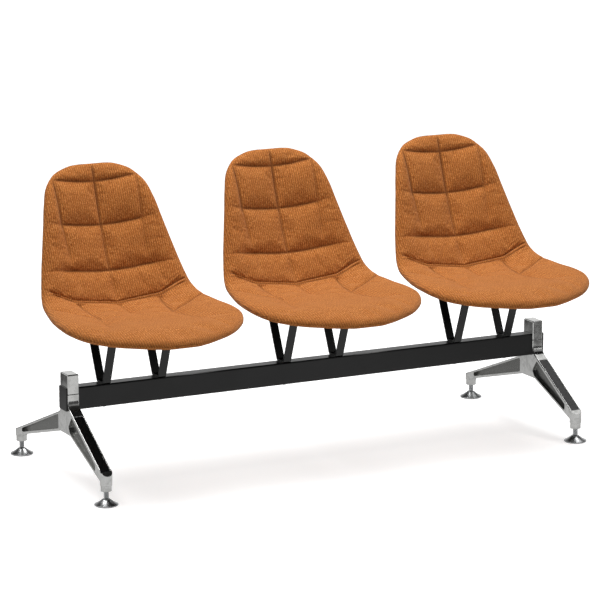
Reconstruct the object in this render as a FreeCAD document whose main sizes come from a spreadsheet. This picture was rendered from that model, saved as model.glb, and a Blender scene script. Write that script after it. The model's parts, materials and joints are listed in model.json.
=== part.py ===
"""Three-seat beam bench: upholstered shell chairs on one steel beam with two cast legs.

Lengths are in millimetres. X runs along the beam, to the right as seen from the front.
The seats face -Y and Z is up from the floor. The origin is on the floor, in the middle of
the plan of the whole bench.
"""
import FreeCAD, Part
import math
import os

import Sketcher

SIZES = [
    ("seat_pitch", 525.0, "centre to centre of neighbouring seats"),
    ("leg_spacing", 1400.0, "centre to centre of the two legs"),
    ("plan_shift", -15.0, "beam centre line, measured from the middle of the plan"),
    ("beam_depth", 40.0, "beam tube, front to back"),
    ("beam_height", 60.0, "beam tube, top to bottom"),
    ("beam_wall", 2.5, "beam tube wall"),
    ("beam_corner", 4.0, "outer corner radius of the beam tube"),
    ("beam_top", 261.0, "top of the beam above the floor"),
    ("cut_spare", 2.0, "extra length of a cut that goes right through"),
    ("plug_plate", 4.0, "thickness of the beam end plate"),
    ("plug_edge", 1.0, "rounding of the beam end plate's outer edges"),
    ("plug_margin", 1.0, "how far the end plate stays inside the saddle's outline"),
    ("plug_tongue", 9.0, "length of the plug inside the beam"),
    ("plug_wall", 2.5, "wall of the plug's tongue"),
    ("plug_gap", 0.3, "gap between that tongue and the tube"),
    ("leg_width", 32.0, "casting, along the beam"),
    ("saddle_wall", 5.0, "casting and cap walls in front of and behind the beam"),
    ("saddle_joint", 244.0, "height of the line where cap and casting meet"),
    ("joint_gap", 1.4, "open gap along that line"),
    ("cap_edge", 3.0, "rounding of the cap's outer edges"),
    ("cap_block", 36.0, "solid block of the cap above the beam"),
    ("hub_bottom", 137.0, "underside of the casting between its arms"),
    ("hub_front", 36.0, "front end of the flat underside"),
    ("hub_rear", 30.0, "rear end of the flat underside"),
    ("front_shoulder", 211.0, "height where the front arm's top line leaves the post"),
    ("rear_shoulder", 193.5, "height where the rear arm's top line leaves the post"),
    ("front_slope", 31.0, "front arm's top line below level, degrees"),
    ("rear_slope", 20.9, "rear arm's top line below level, degrees"),
    ("front_reach", 229.0, "front foot ahead of the beam's centre"),
    ("rear_reach", 339.0, "rear foot behind the beam's centre"),
    ("front_toe", 61.0, "underside of the front arm at its foot axis"),
    ("rear_toe", 54.0, "underside of the rear arm at its foot axis"),
    ("front_blend", 30.0, "hollow radius from post to front arm"),
    ("rear_blend", 24.0, "hollow radius from post to rear arm"),
    ("under_blend", 14.0, "radius at both ends of the flat underside"),
    ("cast_edge", 2.4, "rounding of the casting's long edges"),
    ("web_recess", 9.5, "depth of the recess in each side of an arm"),
    ("web_front_rim", 8.5, "rim left above the front recess"),
    ("web_rear_rim", 6.5, "rim left above the rear recess"),
    ("web_low_rim", 7.0, "rim left below a recess"),
    ("web_hub_inset", 11.0, "how far a recess keeps inside or outside the hub's ends"),
    ("web_hub_rise", 22.0, "height of the front recess's inner corner above the hub"),
    ("web_front_end", 32.0, "front recess's end from the front foot axis"),
    ("web_rear_end", 42.0, "rear recess's end from the rear foot axis"),
    ("web_corner", 5.0, "corner radius of a recess"),
    ("channel_sink", 1.2, "sunk panel along the top of each arm"),
    ("channel_rim", 3.0, "raised border beside that panel"),
    ("boss_bottom", 38.0, "lower end of the foot bosses"),
    ("collar_top", 53.0, "top of the turned collar at the end of a boss"),
    ("collar_diameter", 29.0, "collar at the end of a boss"),
    ("stud_diameter", 14.0, "threaded stud of a foot, M14 by 2"),
    ("stud_lead", 1.4, "chamfer at the stud's upper end"),
    ("stud_fit", 0.06, "radial running clearance of the stud"),
    ("stud_engaged", 18.0, "stud length inside the boss at rest"),
    ("stud_travel_up", 9.0, "how far a foot can be screwed in"),
    ("bore_spare", 1.0, "bore left over when a foot is screwed right in"),
    ("foot_diameter", 62.0, "conical foot"),
    ("foot_rim", 3.0, "upright edge of the foot"),
    ("foot_height", 17.5, "top of the foot's cone above the floor"),
    ("foot_crown", 18.5, "diameter of the flat top of the cone"),
    ("foot_edge", 0.8, "rounding of the foot's edges"),
    ("pad_thickness", 3.0, "plastic sole under a foot"),
    ("pad_proud", 1.0, "sole standing out below the metal rim"),
    ("pad_lip", 1.5, "metal lip round the sole"),
    ("ball_diameter", 14.0, "ball at the lower end of the stud"),
    ("neck_diameter", 9.6, "neck above the ball"),
    ("neck_room", 0.8, "gap round the neck"),
    ("bracket_spacing", 158.0, "centre to centre of the two brackets of a seat"),
    ("bracket_width", 22.0, "flat bar of a bracket"),
    ("bracket_bar", 5.0, "thickness of that bar"),
    ("bracket_front_lean", 20.5, "front strut from upright, degrees"),
    ("bracket_rear_lean", 24.5, "rear strut from upright, degrees"),
    ("bracket_top", 402.0, "top of the bracket's flanges above the floor"),
    ("front_flange", 36.0, "length of the front flange from its outer corner"),
    ("rear_flange", 46.0, "length of the rear flange from its outer corner"),
    ("flange_hole_edge", 13.0, "flange hole from the flange's free end"),
    ("bend_inner", 3.0, "inner bend radius of the bar"),
    ("bolt_diameter", 8.0, "M8 bolts and screws"),
    ("bolt_room", 0.3, "radial room of a bolt in its hole"),
    ("bolt_head", 14.0, "head diameter of the bolts under the beam"),
    ("bolt_head_height", 3.4, "low heads of the bolts under the beam"),
    ("clamp_bolt_offset", 10.0, "clamp bolts ahead of and behind the beam's centre"),
    ("clamp_head_sink", 9.0, "counterbore for a clamp bolt"),
    ("clamp_thread", 24.0, "clamp bolt inside the cap's block"),
    ("screw_head", 13.0, "button head of the seat screws"),
    ("screw_head_height", 4.2, "height of that head"),
    ("washer_diameter", 16.0, "washer under a seat screw"),
    ("washer_thickness", 1.4, "thickness of that washer"),
    ("hex_key", 5.0, "hexagon socket of the round heads"),
    ("hex_key_share", 0.6, "depth of that socket as a share of the head"),
    ("hex_flats", 13.0, "hexagon heads across flats"),
    ("thread_fit", 0.05, "radial room drawn between a thread and its bolt"),
    ("thread_spare", 1.5, "thread depth left past a bolt's tip"),
    ("insert_diameter", 11.0, "brass insert in the shell's boss"),
    ("insert_length", 13.0, "length of that insert"),
    ("seat_width", 493.0, "seat at its widest"),
    ("pan_length", 426.0, "crease to front edge of a seat"),
    ("back_rise", 349.0, "crease to top edge, measured up"),
    ("back_reach", 162.0, "crease to top edge, measured back"),
    ("crease_y", 88.0, "crease behind the beam's centre"),
    ("crease_z", 439.0, "crease above the floor"),
    ("pad_foam", 12.0, "front padding from the parting surface out"),
    ("cover_foam", 12.0, "rear half from the parting surface out"),
    ("puff", 5.0, "crown of a quilted panel above its seams"),
    ("seam_cut", 2.5, "how far a seam is drawn in"),
    ("seam_zone", 13.0, "half width of the fold beside a cross seam"),
    ("side_seam", 112.0, "side seams from the middle of the seat"),
    ("shell_thickness", 8.5, "moulded inner shell"),
    ("shell_inset", 15.0, "inner shell inside the edge of the upholstery"),
    ("soft_gap", 0.3, "gap between an upholstery layer and what it wraps"),
    ("shell_boss", 26.0, "diameter of the shell's mounting bosses"),
    ("front_boss_reach", 17.0, "height of the front bosses, up into the shell"),
    ("rear_boss_reach", 23.0, "height of the rear bosses"),
    ("seat_edge", 15.0, "rounding of the upholstery's edge"),
    ("crease_share", 1.5, "depth of the crease, in depths of a plain seam"),
    ("faint_share", 0.35, "depth of the faint seams of the pan, in the same unit"),
]

SEAT_SIDES = (-1, 0, 1)
LEG_SIDES = {"left": -1, "right": 1}

doc = FreeCAD.newDocument("beam_bench")
sheet = doc.addObject("Spreadsheet::Sheet", "Sizes")
for row_number, (size_name, size_value, size_note) in enumerate(SIZES, start=1):
    sheet.set("A%d" % row_number, size_name)
    sheet.set("B%d" % row_number, str(size_value))
    sheet.set("C%d" % row_number, size_note)
    sheet.setAlias("B%d" % row_number, size_name)
doc.recompute()


class Formula:
    """A length that carries both its value and the sheet expression that gives it."""

    def __init__(self, value, text):
        self.value = float(value)
        self.text = text

    def __add__(self, other):
        other = formula(other)
        return Formula(self.value + other.value, "(%s + %s)" % (self.text, other.text))

    def __sub__(self, other):
        other = formula(other)
        return Formula(self.value - other.value, "(%s - %s)" % (self.text, other.text))

    def __mul__(self, other):
        other = formula(other)
        return Formula(self.value * other.value, "(%s * %s)" % (self.text, other.text))

    def __truediv__(self, other):
        other = formula(other)
        return Formula(self.value / other.value, "(%s / %s)" % (self.text, other.text))

    def __neg__(self):
        return Formula(-self.value, "(0 - %s)" % self.text)

    __radd__ = __add__

    def __rmul__(self, other):
        return self * other

    def __rsub__(self, other):
        return formula(other) - self


def formula(item):
    """Give a plain number the same two faces as a named size."""
    if isinstance(item, Formula):
        return item
    return Formula(item, repr(float(item)))


def tangent(angle):
    """Tangent of an angle that the sheet holds in degrees."""
    return Formula(math.tan(math.radians(angle.value)), "tan(%s * 1deg)" % angle.text)


def cosine(angle):
    """Cosine of an angle that the sheet holds in degrees."""
    return Formula(math.cos(math.radians(angle.value)), "cos(%s * 1deg)" % angle.text)


class NamedSizes:
    """Attribute access to the sheet: S.beam_depth is the formula Sizes.beam_depth."""

    def __init__(self, table):
        for name, value, _note in table:
            setattr(self, name, Formula(value, "Sizes.%s" % name))


S = NamedSizes(SIZES)


def bind(item, path, size):
    """Tie one property of an object to a formula of the sheet."""
    item.setExpression(path, formula(size).text)


def make_body(label):
    """New body with its label."""
    body = doc.addObject("PartDesign::Body", label)
    body.Label = label
    return body


def place(body, shift_x=0.0, turn=0.0):
    """Move a body along the beam, after a turn in degrees about the upright axis."""
    spin = FreeCAD.Rotation(FreeCAD.Vector(0, 0, 1), turn)
    where = FreeCAD.Vector(formula(shift_x).value, S.plan_shift.value, 0)
    body.Placement = FreeCAD.Placement(where, spin)
    bind(body, "Placement.Base.x", shift_x)
    bind(body, "Placement.Base.y", S.plan_shift)


def make_sketch(body, name, role, height=0.0):
    """Sketch on one of the body's own origin planes, moved along the plane's normal."""
    plane = [item for item in body.Origin.OriginFeatures if item.Role == role][0]
    sketch = body.newObject("Sketcher::SketchObject", name)
    sketch.AttachmentSupport = [(plane, "")]
    sketch.MapMode = "FlatFace"
    bind(sketch, "AttachmentOffset.Base.z", height)
    return sketch


def pin_point(sketch, geometry, point, across, up):
    """Fix one point of a sketch by its two distances from the origin."""
    across = formula(across)
    up = formula(up)
    for kind, size in (("DistanceX", across), ("DistanceY", up)):
        rule = sketch.addConstraint(Sketcher.Constraint(kind, -1, 1, geometry, point, size.value))
        sketch.setExpression("Constraints[%d]" % rule, size.text)


def add_polygon(sketch, corners):
    """Closed outline of straight lines through the corners."""
    values = [FreeCAD.Vector(formula(x).value, formula(y).value, 0) for x, y in corners]
    first = sketch.GeometryCount
    count = len(corners)
    for number in range(count):
        sketch.addGeometry(Part.LineSegment(values[number], values[(number + 1) % count]))
    for number in range(count):
        here = first + number
        after = first + (number + 1) % count
        sketch.addConstraint(Sketcher.Constraint("Coincident", here, 2, after, 1))
    for number, (across, up) in enumerate(corners):
        pin_point(sketch, first + number, 1, across, up)


def add_circle(sketch, across, up, diameter):
    """Circle by centre and diameter."""
    across = formula(across)
    up = formula(up)
    diameter = formula(diameter)
    centre = FreeCAD.Vector(across.value, up.value, 0)
    ring = sketch.addGeometry(Part.Circle(centre, FreeCAD.Vector(0, 0, 1), diameter.value / 2))
    pin_point(sketch, ring, 3, across, up)
    rule = sketch.addConstraint(Sketcher.Constraint("Diameter", ring, diameter.value))
    sketch.setExpression("Constraints[%d]" % rule, diameter.text)


def pad(body, sketch, length, symmetric=False, reverse=False):
    """Extrude a sketch and add it to its body."""
    feature = body.newObject("PartDesign::Pad", sketch.Name + "_pad")
    feature.Profile = sketch
    bind(feature, "Length", length)
    feature.SideType = "Symmetric" if symmetric else "One side"
    feature.Reversed = reverse
    doc.recompute()
    return feature


def pocket(body, sketch, length, symmetric=False, reverse=False):
    """Extrude a sketch and take it from its body, which must lose volume."""
    before = body.Shape.Volume
    feature = body.newObject("PartDesign::Pocket", sketch.Name + "_cut")
    feature.Profile = sketch
    bind(feature, "Length", length)
    feature.SideType = "Symmetric" if symmetric else "One side"
    feature.Reversed = reverse
    doc.recompute()
    if not body.Shape.Volume < before:
        raise ValueError("%s cuts nothing" % feature.Name)
    return feature


def edges_where(shape, test):
    """Names of the edges whose middle point and shape pass a test."""
    names = []
    for number, edge in enumerate(shape.Edges, start=1):
        middle = edge.valueAt((edge.FirstParameter + edge.LastParameter) / 2)
        if test(edge, middle):
            names.append("Edge%d" % number)
    return names


def fillet(body, name, radius, test):
    """Round every edge of the body that passes a test."""
    base = body.Tip
    names = edges_where(base.Shape, test)
    if not names:
        raise ValueError("%s finds no edge" % name)
    feature = body.newObject("PartDesign::Fillet", name)
    feature.Base = (base, names)
    bind(feature, "Radius", radius)
    doc.recompute()
    return feature


def along_x(edge):
    """True for a straight edge that runs along the beam."""
    return edge.Curve.TypeId == "Part::GeomLine" and abs(edge.tangentAt(edge.FirstParameter).x) > 0.999


def upright(edge):
    """True for a straight edge that runs up."""
    return edge.Curve.TypeId == "Part::GeomLine" and abs(edge.tangentAt(edge.FirstParameter).z) > 0.999


def near(first, second, reach=0.01):
    """True when two lengths agree."""
    return abs(first - second) < reach


def rectangle(left, right, low, high):
    """Corners of a rectangle."""
    return [(left, low), (right, low), (right, high), (left, high)]


# Places that several pieces share

beam_bottom = S.beam_top - S.beam_height
beam_length = S.leg_spacing + S.leg_width
beam_middle = S.beam_top - S.beam_height / 2
post_half = S.beam_depth / 2 + S.saddle_wall
leg_places = {name: S.leg_spacing / 2 * side for name, side in LEG_SIDES.items()}
foot_places = {
    "left_front": (leg_places["left"], -S.front_reach),
    "left_rear": (leg_places["left"], S.rear_reach),
    "right_front": (leg_places["right"], -S.front_reach),
    "right_rear": (leg_places["right"], S.rear_reach),
}
seat_places = {number: S.seat_pitch * side for number, side in enumerate(SEAT_SIDES, start=1)}
bolt_hole = S.bolt_diameter + S.bolt_room * 2
bracket_rise = S.bracket_top - S.beam_top
front_strut_top = -(S.beam_depth / 2) - tangent(S.bracket_front_lean) * bracket_rise
rear_strut_top = S.beam_depth / 2 + tangent(S.bracket_rear_lean) * bracket_rise
front_screw_y = front_strut_top + S.front_flange - S.flange_hole_edge
rear_screw_y = rear_strut_top - S.rear_flange + S.flange_hole_edge
cap_top = S.beam_top + S.cap_block
cap_low = S.saddle_joint + S.joint_gap


def seat_screw_places(seat_x=0.0):
    """Plan places of the four screws of a seat."""
    places = []
    for side in (-0.5, 0.5):
        for screw_y in (front_screw_y, rear_screw_y):
            places.append((S.bracket_spacing * side + seat_x, screw_y))
    return places


# Beam

def build_beam():
    """Rectangular steel tube with bolt holes for the brackets and the clamps."""
    body = make_body("beam_tube")
    outline = make_sketch(body, "beam_outline", "YZ_Plane")
    half = S.beam_depth / 2
    add_polygon(outline, rectangle(-half, half, beam_bottom, S.beam_top))
    pad(body, outline, beam_length, symmetric=True)
    fillet(body, "beam_corners", S.beam_corner, lambda edge, middle: along_x(edge))
    hollow = make_sketch(body, "beam_hollow", "YZ_Plane")
    inner = half - S.beam_wall
    add_polygon(hollow, rectangle(-inner, inner, beam_bottom + S.beam_wall, S.beam_top - S.beam_wall))
    pocket(body, hollow, beam_length + S.cut_spare, symmetric=True)
    fillet(
        body, "beam_inner_corners", S.beam_corner - S.beam_wall,
        lambda edge, middle: along_x(edge) and near(abs(middle.y), inner.value),
    )
    holes = make_sketch(body, "beam_holes", "XY_Plane", beam_middle)
    for seat_x in seat_places.values():
        for side in (-0.5, 0.5):
            add_circle(holes, seat_x + S.bracket_spacing * side, 0.0, bolt_hole)
    for leg_x in leg_places.values():
        for side in (-1, 1):
            add_circle(holes, leg_x, S.clamp_bolt_offset * side, bolt_hole)
    pocket(body, holes, S.beam_height + S.cut_spare, symmetric=True)
    place(body)


def build_plug(name, side):
    """Plate over the open end of the beam, with a hollow tongue inside the tube."""
    body = make_body("beam_end_plug_%s" % name)
    plate = make_sketch(body, "plug_plate_%s" % name, "YZ_Plane", beam_length / 2)
    half = post_half - S.plug_margin
    add_polygon(plate, rectangle(-half, half, beam_bottom - S.plug_margin, S.beam_top + S.plug_margin))
    pad(body, plate, S.plug_plate)
    outer_face = beam_length / 2 + S.plug_plate
    fillet(
        body, "plug_corners_%s" % name, S.beam_corner,
        lambda edge, middle: along_x(edge),
    )
    fillet(
        body, "plug_edge_%s" % name, S.plug_edge,
        lambda edge, middle: near(middle.x, outer_face.value),
    )
    tongue = make_sketch(body, "plug_tongue_%s" % name, "YZ_Plane", beam_length / 2)
    reach = S.beam_depth / 2 - S.beam_wall - S.plug_gap
    low = beam_bottom + S.beam_wall + S.plug_gap
    high = S.beam_top - S.beam_wall - S.plug_gap
    add_polygon(tongue, rectangle(-reach, reach, low, high))
    pad(body, tongue, S.plug_tongue, reverse=True)
    fillet(
        body, "plug_tongue_corners_%s" % name, S.beam_corner - S.beam_wall,
        lambda edge, middle: along_x(edge) and near(abs(middle.y), reach.value),
    )
    core = make_sketch(body, "plug_core_%s" % name, "YZ_Plane", beam_length / 2 - S.plug_tongue)
    inside = reach - S.plug_wall
    add_polygon(core, rectangle(-inside, inside, low + S.plug_wall, high - S.plug_wall))
    pocket(body, core, S.plug_tongue - S.plug_wall, reverse=True)
    place(body, turn=0.0 if side > 0 else 180.0)


# Legs

def front_top(place_y):
    """Height of the front arm's top line at a place ahead of the beam, counted forwards."""
    return S.front_shoulder - tangent(S.front_slope) * (place_y - post_half)


def rear_top(place_y):
    """Height of the rear arm's top line at a place behind the beam."""
    return S.rear_shoulder - tangent(S.rear_slope) * (place_y - post_half)


def front_low(place_y):
    """Height of the front arm's underside at a place ahead of the beam, counted forwards."""
    drop = (S.hub_bottom - S.front_toe) / (S.front_reach - S.hub_front)
    return S.hub_bottom - drop * (place_y - S.hub_front)


def rear_low(place_y):
    """Height of the rear arm's underside at a place behind the beam."""
    drop = (S.hub_bottom - S.rear_toe) / (S.rear_reach - S.hub_rear)
    return S.hub_bottom - drop * (place_y - S.hub_rear)


def add_boss(body, tag, centre_y, top):
    """Upright foot boss with a turned collar at its end."""
    boss = make_sketch(body, "boss_%s" % tag, "XY_Plane", S.collar_top)
    add_circle(boss, 0.0, centre_y, S.leg_width)
    pad(body, boss, top - S.collar_top)
    collar = make_sketch(body, "collar_%s" % tag, "XY_Plane", S.boss_bottom)
    add_circle(collar, 0.0, centre_y, S.collar_diameter)
    pad(body, collar, S.collar_top - S.boss_bottom)


def build_leg(name):
    """Cast leg: saddle under the beam, two ribbed arms and a boss for each foot."""
    body = make_body("leg_casting_%s" % name)
    outline = make_sketch(body, "leg_outline_%s" % name, "YZ_Plane")
    add_polygon(outline, [
        (-post_half, S.saddle_joint),
        (-post_half, S.front_shoulder),
        (-S.front_reach, front_top(S.front_reach)),
        (-S.front_reach, S.front_toe),
        (-S.hub_front, S.hub_bottom),
        (S.hub_rear, S.hub_bottom),
        (S.rear_reach, S.rear_toe),
        (S.rear_reach, rear_top(S.rear_reach)),
        (post_half, S.rear_shoulder),
        (post_half, S.saddle_joint),
    ])
    pad(body, outline, S.leg_width, symmetric=True)

    def corner(place_y, place_z):
        return lambda edge, middle: along_x(edge) and near(middle.y, place_y) and near(middle.z, place_z)

    front_corner = corner(-post_half.value, S.front_shoulder.value)
    rear_corner = corner(post_half.value, S.rear_shoulder.value)
    fillet(body, "front_hollow_%s" % name, S.front_blend, front_corner)
    fillet(body, "rear_hollow_%s" % name, S.rear_blend, rear_corner)
    fillet(
        body, "arch_%s" % name, S.under_blend,
        lambda edge, middle: along_x(edge) and near(middle.z, S.hub_bottom.value),
    )
    half_width = (S.leg_width / 2).value
    arm_ends = (-S.front_reach.value, S.rear_reach.value)
    fillet(
        body, "cast_edges_%s" % name, S.cast_edge,
        lambda edge, middle: near(abs(middle.x), half_width)
        and not near(middle.y, arm_ends[0]) and not near(middle.y, arm_ends[1]),
    )

    # The bosses rise past the arms and are then cut off along each arm's top line.
    half_boss = S.leg_width / 2
    add_boss(body, "front_%s" % name, -S.front_reach, front_top(S.front_reach - half_boss))
    add_boss(body, "rear_%s" % name, S.rear_reach, rear_top(S.rear_reach - half_boss))
    over = make_sketch(body, "over_bosses_%s" % name, "YZ_Plane")
    spare = S.leg_width
    add_polygon(over, [
        (-(S.front_reach - half_boss), front_top(S.front_reach - half_boss)),
        (-(S.front_reach + spare), front_top(S.front_reach + spare)),
        (-(S.front_reach + spare), front_top(S.front_reach - spare)),
        (-(S.front_reach - half_boss), front_top(S.front_reach - spare)),
    ])
    add_polygon(over, [
        (S.rear_reach - half_boss, rear_top(S.rear_reach - half_boss)),
        (S.rear_reach + spare, rear_top(S.rear_reach + spare)),
        (S.rear_reach + spare, rear_top(S.rear_reach - spare)),
        (S.rear_reach - half_boss, rear_top(S.rear_reach - spare)),
    ])
    pocket(body, over, S.leg_width + S.cut_spare, symmetric=True)

    saddle = make_sketch(body, "saddle_%s" % name, "YZ_Plane")
    half_beam = S.beam_depth / 2
    add_polygon(saddle, rectangle(-half_beam, half_beam, beam_bottom, S.beam_top))
    pocket(body, saddle, S.leg_width + S.cut_spare, symmetric=True)

    panels = make_sketch(body, "top_panels_%s" % name, "YZ_Plane")
    front_bend = post_half + S.front_blend
    rear_bend = post_half + S.rear_blend
    add_polygon(panels, [
        (-front_bend, front_top(front_bend)),
        (-S.front_reach, front_top(S.front_reach)),
        (-S.front_reach, front_top(S.front_reach) - S.channel_sink),
        (-front_bend, front_top(front_bend) - S.channel_sink),
    ])
    add_polygon(panels, [
        (rear_bend, rear_top(rear_bend)),
        (S.rear_reach, rear_top(S.rear_reach)),
        (S.rear_reach, rear_top(S.rear_reach) - S.channel_sink),
        (rear_bend, rear_top(rear_bend) - S.channel_sink),
    ])
    pocket(body, panels, S.leg_width - S.channel_rim * 2, symmetric=True)

    front_end = S.front_reach - S.web_front_end
    rear_end = S.rear_reach - S.web_rear_end
    front_start = S.hub_front + S.web_hub_inset
    rear_start = S.hub_rear + S.web_hub_inset
    for tag, side in (("inner", -1), ("outer", 1)):
        recess = make_sketch(body, "recess_%s_%s" % (tag, name), "YZ_Plane", S.leg_width / 2 * side)
        add_polygon(recess, [
            (-front_start, front_top(front_start) - S.web_front_rim),
            (-front_end, front_top(front_end) - S.web_front_rim),
            (-front_end, front_low(front_end) + S.web_low_rim),
            (-S.hub_front, S.hub_bottom + S.web_low_rim),
            (S.web_hub_inset - S.hub_front, S.hub_bottom + S.web_hub_rise),
        ])
        add_polygon(recess, [
            (rear_start, rear_top(rear_start) - S.web_rear_rim),
            (rear_start, rear_low(rear_start) + S.web_low_rim),
            (rear_end, rear_low(rear_end) + S.web_low_rim),
            (rear_end, rear_top(rear_end) - S.web_rear_rim),
        ])
        pocket(body, recess, S.web_recess, reverse=side < 0)
    floor_x = (S.leg_width / 2 - S.web_recess / 2).value
    fillet(
        body, "recess_corners_%s" % name, S.web_corner,
        lambda edge, middle: along_x(edge) and near(abs(middle.x), floor_x) and middle.z < beam_bottom.value,
    )
    bores = make_sketch(body, "stud_bores_%s" % name, "XY_Plane", S.boss_bottom)
    for centre_y in (-S.front_reach, S.rear_reach):
        add_circle(bores, 0.0, centre_y, S.stud_diameter + S.stud_fit * 2)
    pocket(body, bores, S.stud_engaged + S.stud_travel_up + S.bore_spare, reverse=True)
    clamp_holes = make_sketch(body, "clamp_holes_%s" % name, "XY_Plane", S.hub_bottom)
    clamp_heads = make_sketch(body, "clamp_heads_%s" % name, "XY_Plane", S.hub_bottom)
    for side in (-1, 1):
        add_circle(clamp_holes, 0.0, S.clamp_bolt_offset * side, bolt_hole)
        add_circle(clamp_heads, 0.0, S.clamp_bolt_offset * side, S.bolt_head + S.bolt_room * 2)
    pocket(body, clamp_holes, beam_bottom - S.hub_bottom + S.cut_spare, reverse=True)
    pocket(body, clamp_heads, S.clamp_head_sink, reverse=True)
    place(body, leg_places[name])


def build_cap(name):
    """Clamp cap: a block above the beam with a thin wall down each side of it."""
    body = make_body("clamp_cap_%s" % name)
    outline = make_sketch(body, "cap_outline_%s" % name, "YZ_Plane")
    add_polygon(outline, rectangle(-post_half, post_half, cap_low, cap_top))
    pad(body, outline, S.leg_width, symmetric=True)
    fillet(
        body, "cap_edges_%s" % name, S.cap_edge,
        lambda edge, middle: upright(edge) or near(middle.z, cap_top.value),
    )
    saddle = make_sketch(body, "cap_saddle_%s" % name, "YZ_Plane")
    half_beam = S.beam_depth / 2
    add_polygon(saddle, rectangle(-half_beam, half_beam, beam_bottom, S.beam_top))
    pocket(body, saddle, S.leg_width + S.cut_spare, symmetric=True)
    threads = make_sketch(body, "cap_threads_%s" % name, "XY_Plane", S.beam_top)
    for side in (-1, 1):
        add_circle(threads, 0.0, S.clamp_bolt_offset * side, S.bolt_diameter + S.thread_fit * 2)
    pocket(body, threads, S.clamp_thread + S.thread_spare, reverse=True)
    place(body, leg_places[name])


# Fasteners

def add_hexagon(sketch, across, up, flats):
    """Regular hexagon by centre and width across flats."""
    corner = flats / math.sqrt(3.0)
    corners = []
    for number in range(6):
        angle = math.radians(60.0 * number)
        corners.append((across + corner * round(math.cos(angle), 9), up + corner * round(math.sin(angle), 9)))
    add_polygon(sketch, corners)


def build_bolts(label, places, seat_z, head_height, head_width, tip_z, hexagon):
    """Bolts that point up: heads below seat_z and shanks from there to tip_z."""
    body = make_body(label)
    heads = make_sketch(body, label + "_heads", "XY_Plane", seat_z)
    shanks = make_sketch(body, label + "_shanks", "XY_Plane", seat_z)
    for bolt_x, bolt_y in places:
        if hexagon:
            add_hexagon(heads, formula(bolt_x), formula(bolt_y), head_width)
        else:
            add_circle(heads, bolt_x, bolt_y, head_width)
        add_circle(shanks, bolt_x, bolt_y, S.bolt_diameter)
    pad(body, heads, head_height, reverse=True)
    pad(body, shanks, tip_z - seat_z)
    if not hexagon:
        sockets = make_sketch(body, label + "_sockets", "XY_Plane", seat_z - head_height)
        for bolt_x, bolt_y in places:
            add_hexagon(sockets, formula(bolt_x), formula(bolt_y), S.hex_key)
        pocket(body, sockets, head_height * S.hex_key_share, reverse=True)
    place(body)


def build_clamp_bolts(name):
    """Two long bolts that pull the cap, the beam and the casting together."""
    places = [(leg_places[name], S.clamp_bolt_offset * side) for side in (-1, 1)]
    seat_z = S.hub_bottom + S.clamp_head_sink
    head_height = S.clamp_head_sink - S.thread_spare
    tip_z = S.beam_top + S.clamp_thread
    build_bolts("clamp_bolts_%s" % name, places, seat_z, head_height, S.bolt_head, tip_z, hexagon=False)


def build_bracket_bolts(number):
    """Bolts from below the beam into the feet of one seat's brackets."""
    places = [(seat_places[number] + S.bracket_spacing * side, 0.0) for side in (-0.5, 0.5)]
    name = "bracket_bolts_%d" % number
    tip_z = S.beam_top + S.bracket_bar
    build_bolts(name, places, beam_bottom, S.bolt_head_height, S.hex_flats, tip_z, hexagon=True)


def build_seat_screws(number):
    """Button screws from below the bracket flanges into the shell."""
    seat_z = S.bracket_top - S.bracket_bar - S.washer_thickness
    tip_z = S.bracket_top + S.insert_length - S.thread_spare
    places = seat_screw_places(seat_places[number])
    build_bolts(
        "seat_screws_%d" % number, places, seat_z, S.screw_head_height, S.screw_head, tip_z, hexagon=False,
    )


def build_rings(label, places, low, high, outer, inner):
    """Equal upright rings, such as washers or threaded inserts."""
    body = make_body(label)
    discs = make_sketch(body, label + "_discs", "XY_Plane", low)
    bores = make_sketch(body, label + "_bores", "XY_Plane", low)
    for ring_x, ring_y in places:
        add_circle(discs, ring_x, ring_y, outer)
        add_circle(bores, ring_x, ring_y, inner)
    pad(body, discs, high - low)
    pocket(body, bores, high - low, reverse=True)
    place(body)


def build_seat_rings(number):
    """Washers under the flanges and brass inserts in the shell's bosses."""
    places = seat_screw_places(seat_places[number])
    flange_low = S.bracket_top - S.bracket_bar
    build_rings(
        "seat_washers_%d" % number, places, flange_low - S.washer_thickness, flange_low,
        S.washer_diameter, bolt_hole,
    )
    build_rings(
        "seat_inserts_%d" % number, places, S.bracket_top, S.bracket_top + S.insert_length,
        S.insert_diameter, S.bolt_diameter + S.thread_fit * 2,
    )


# Brackets

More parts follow.
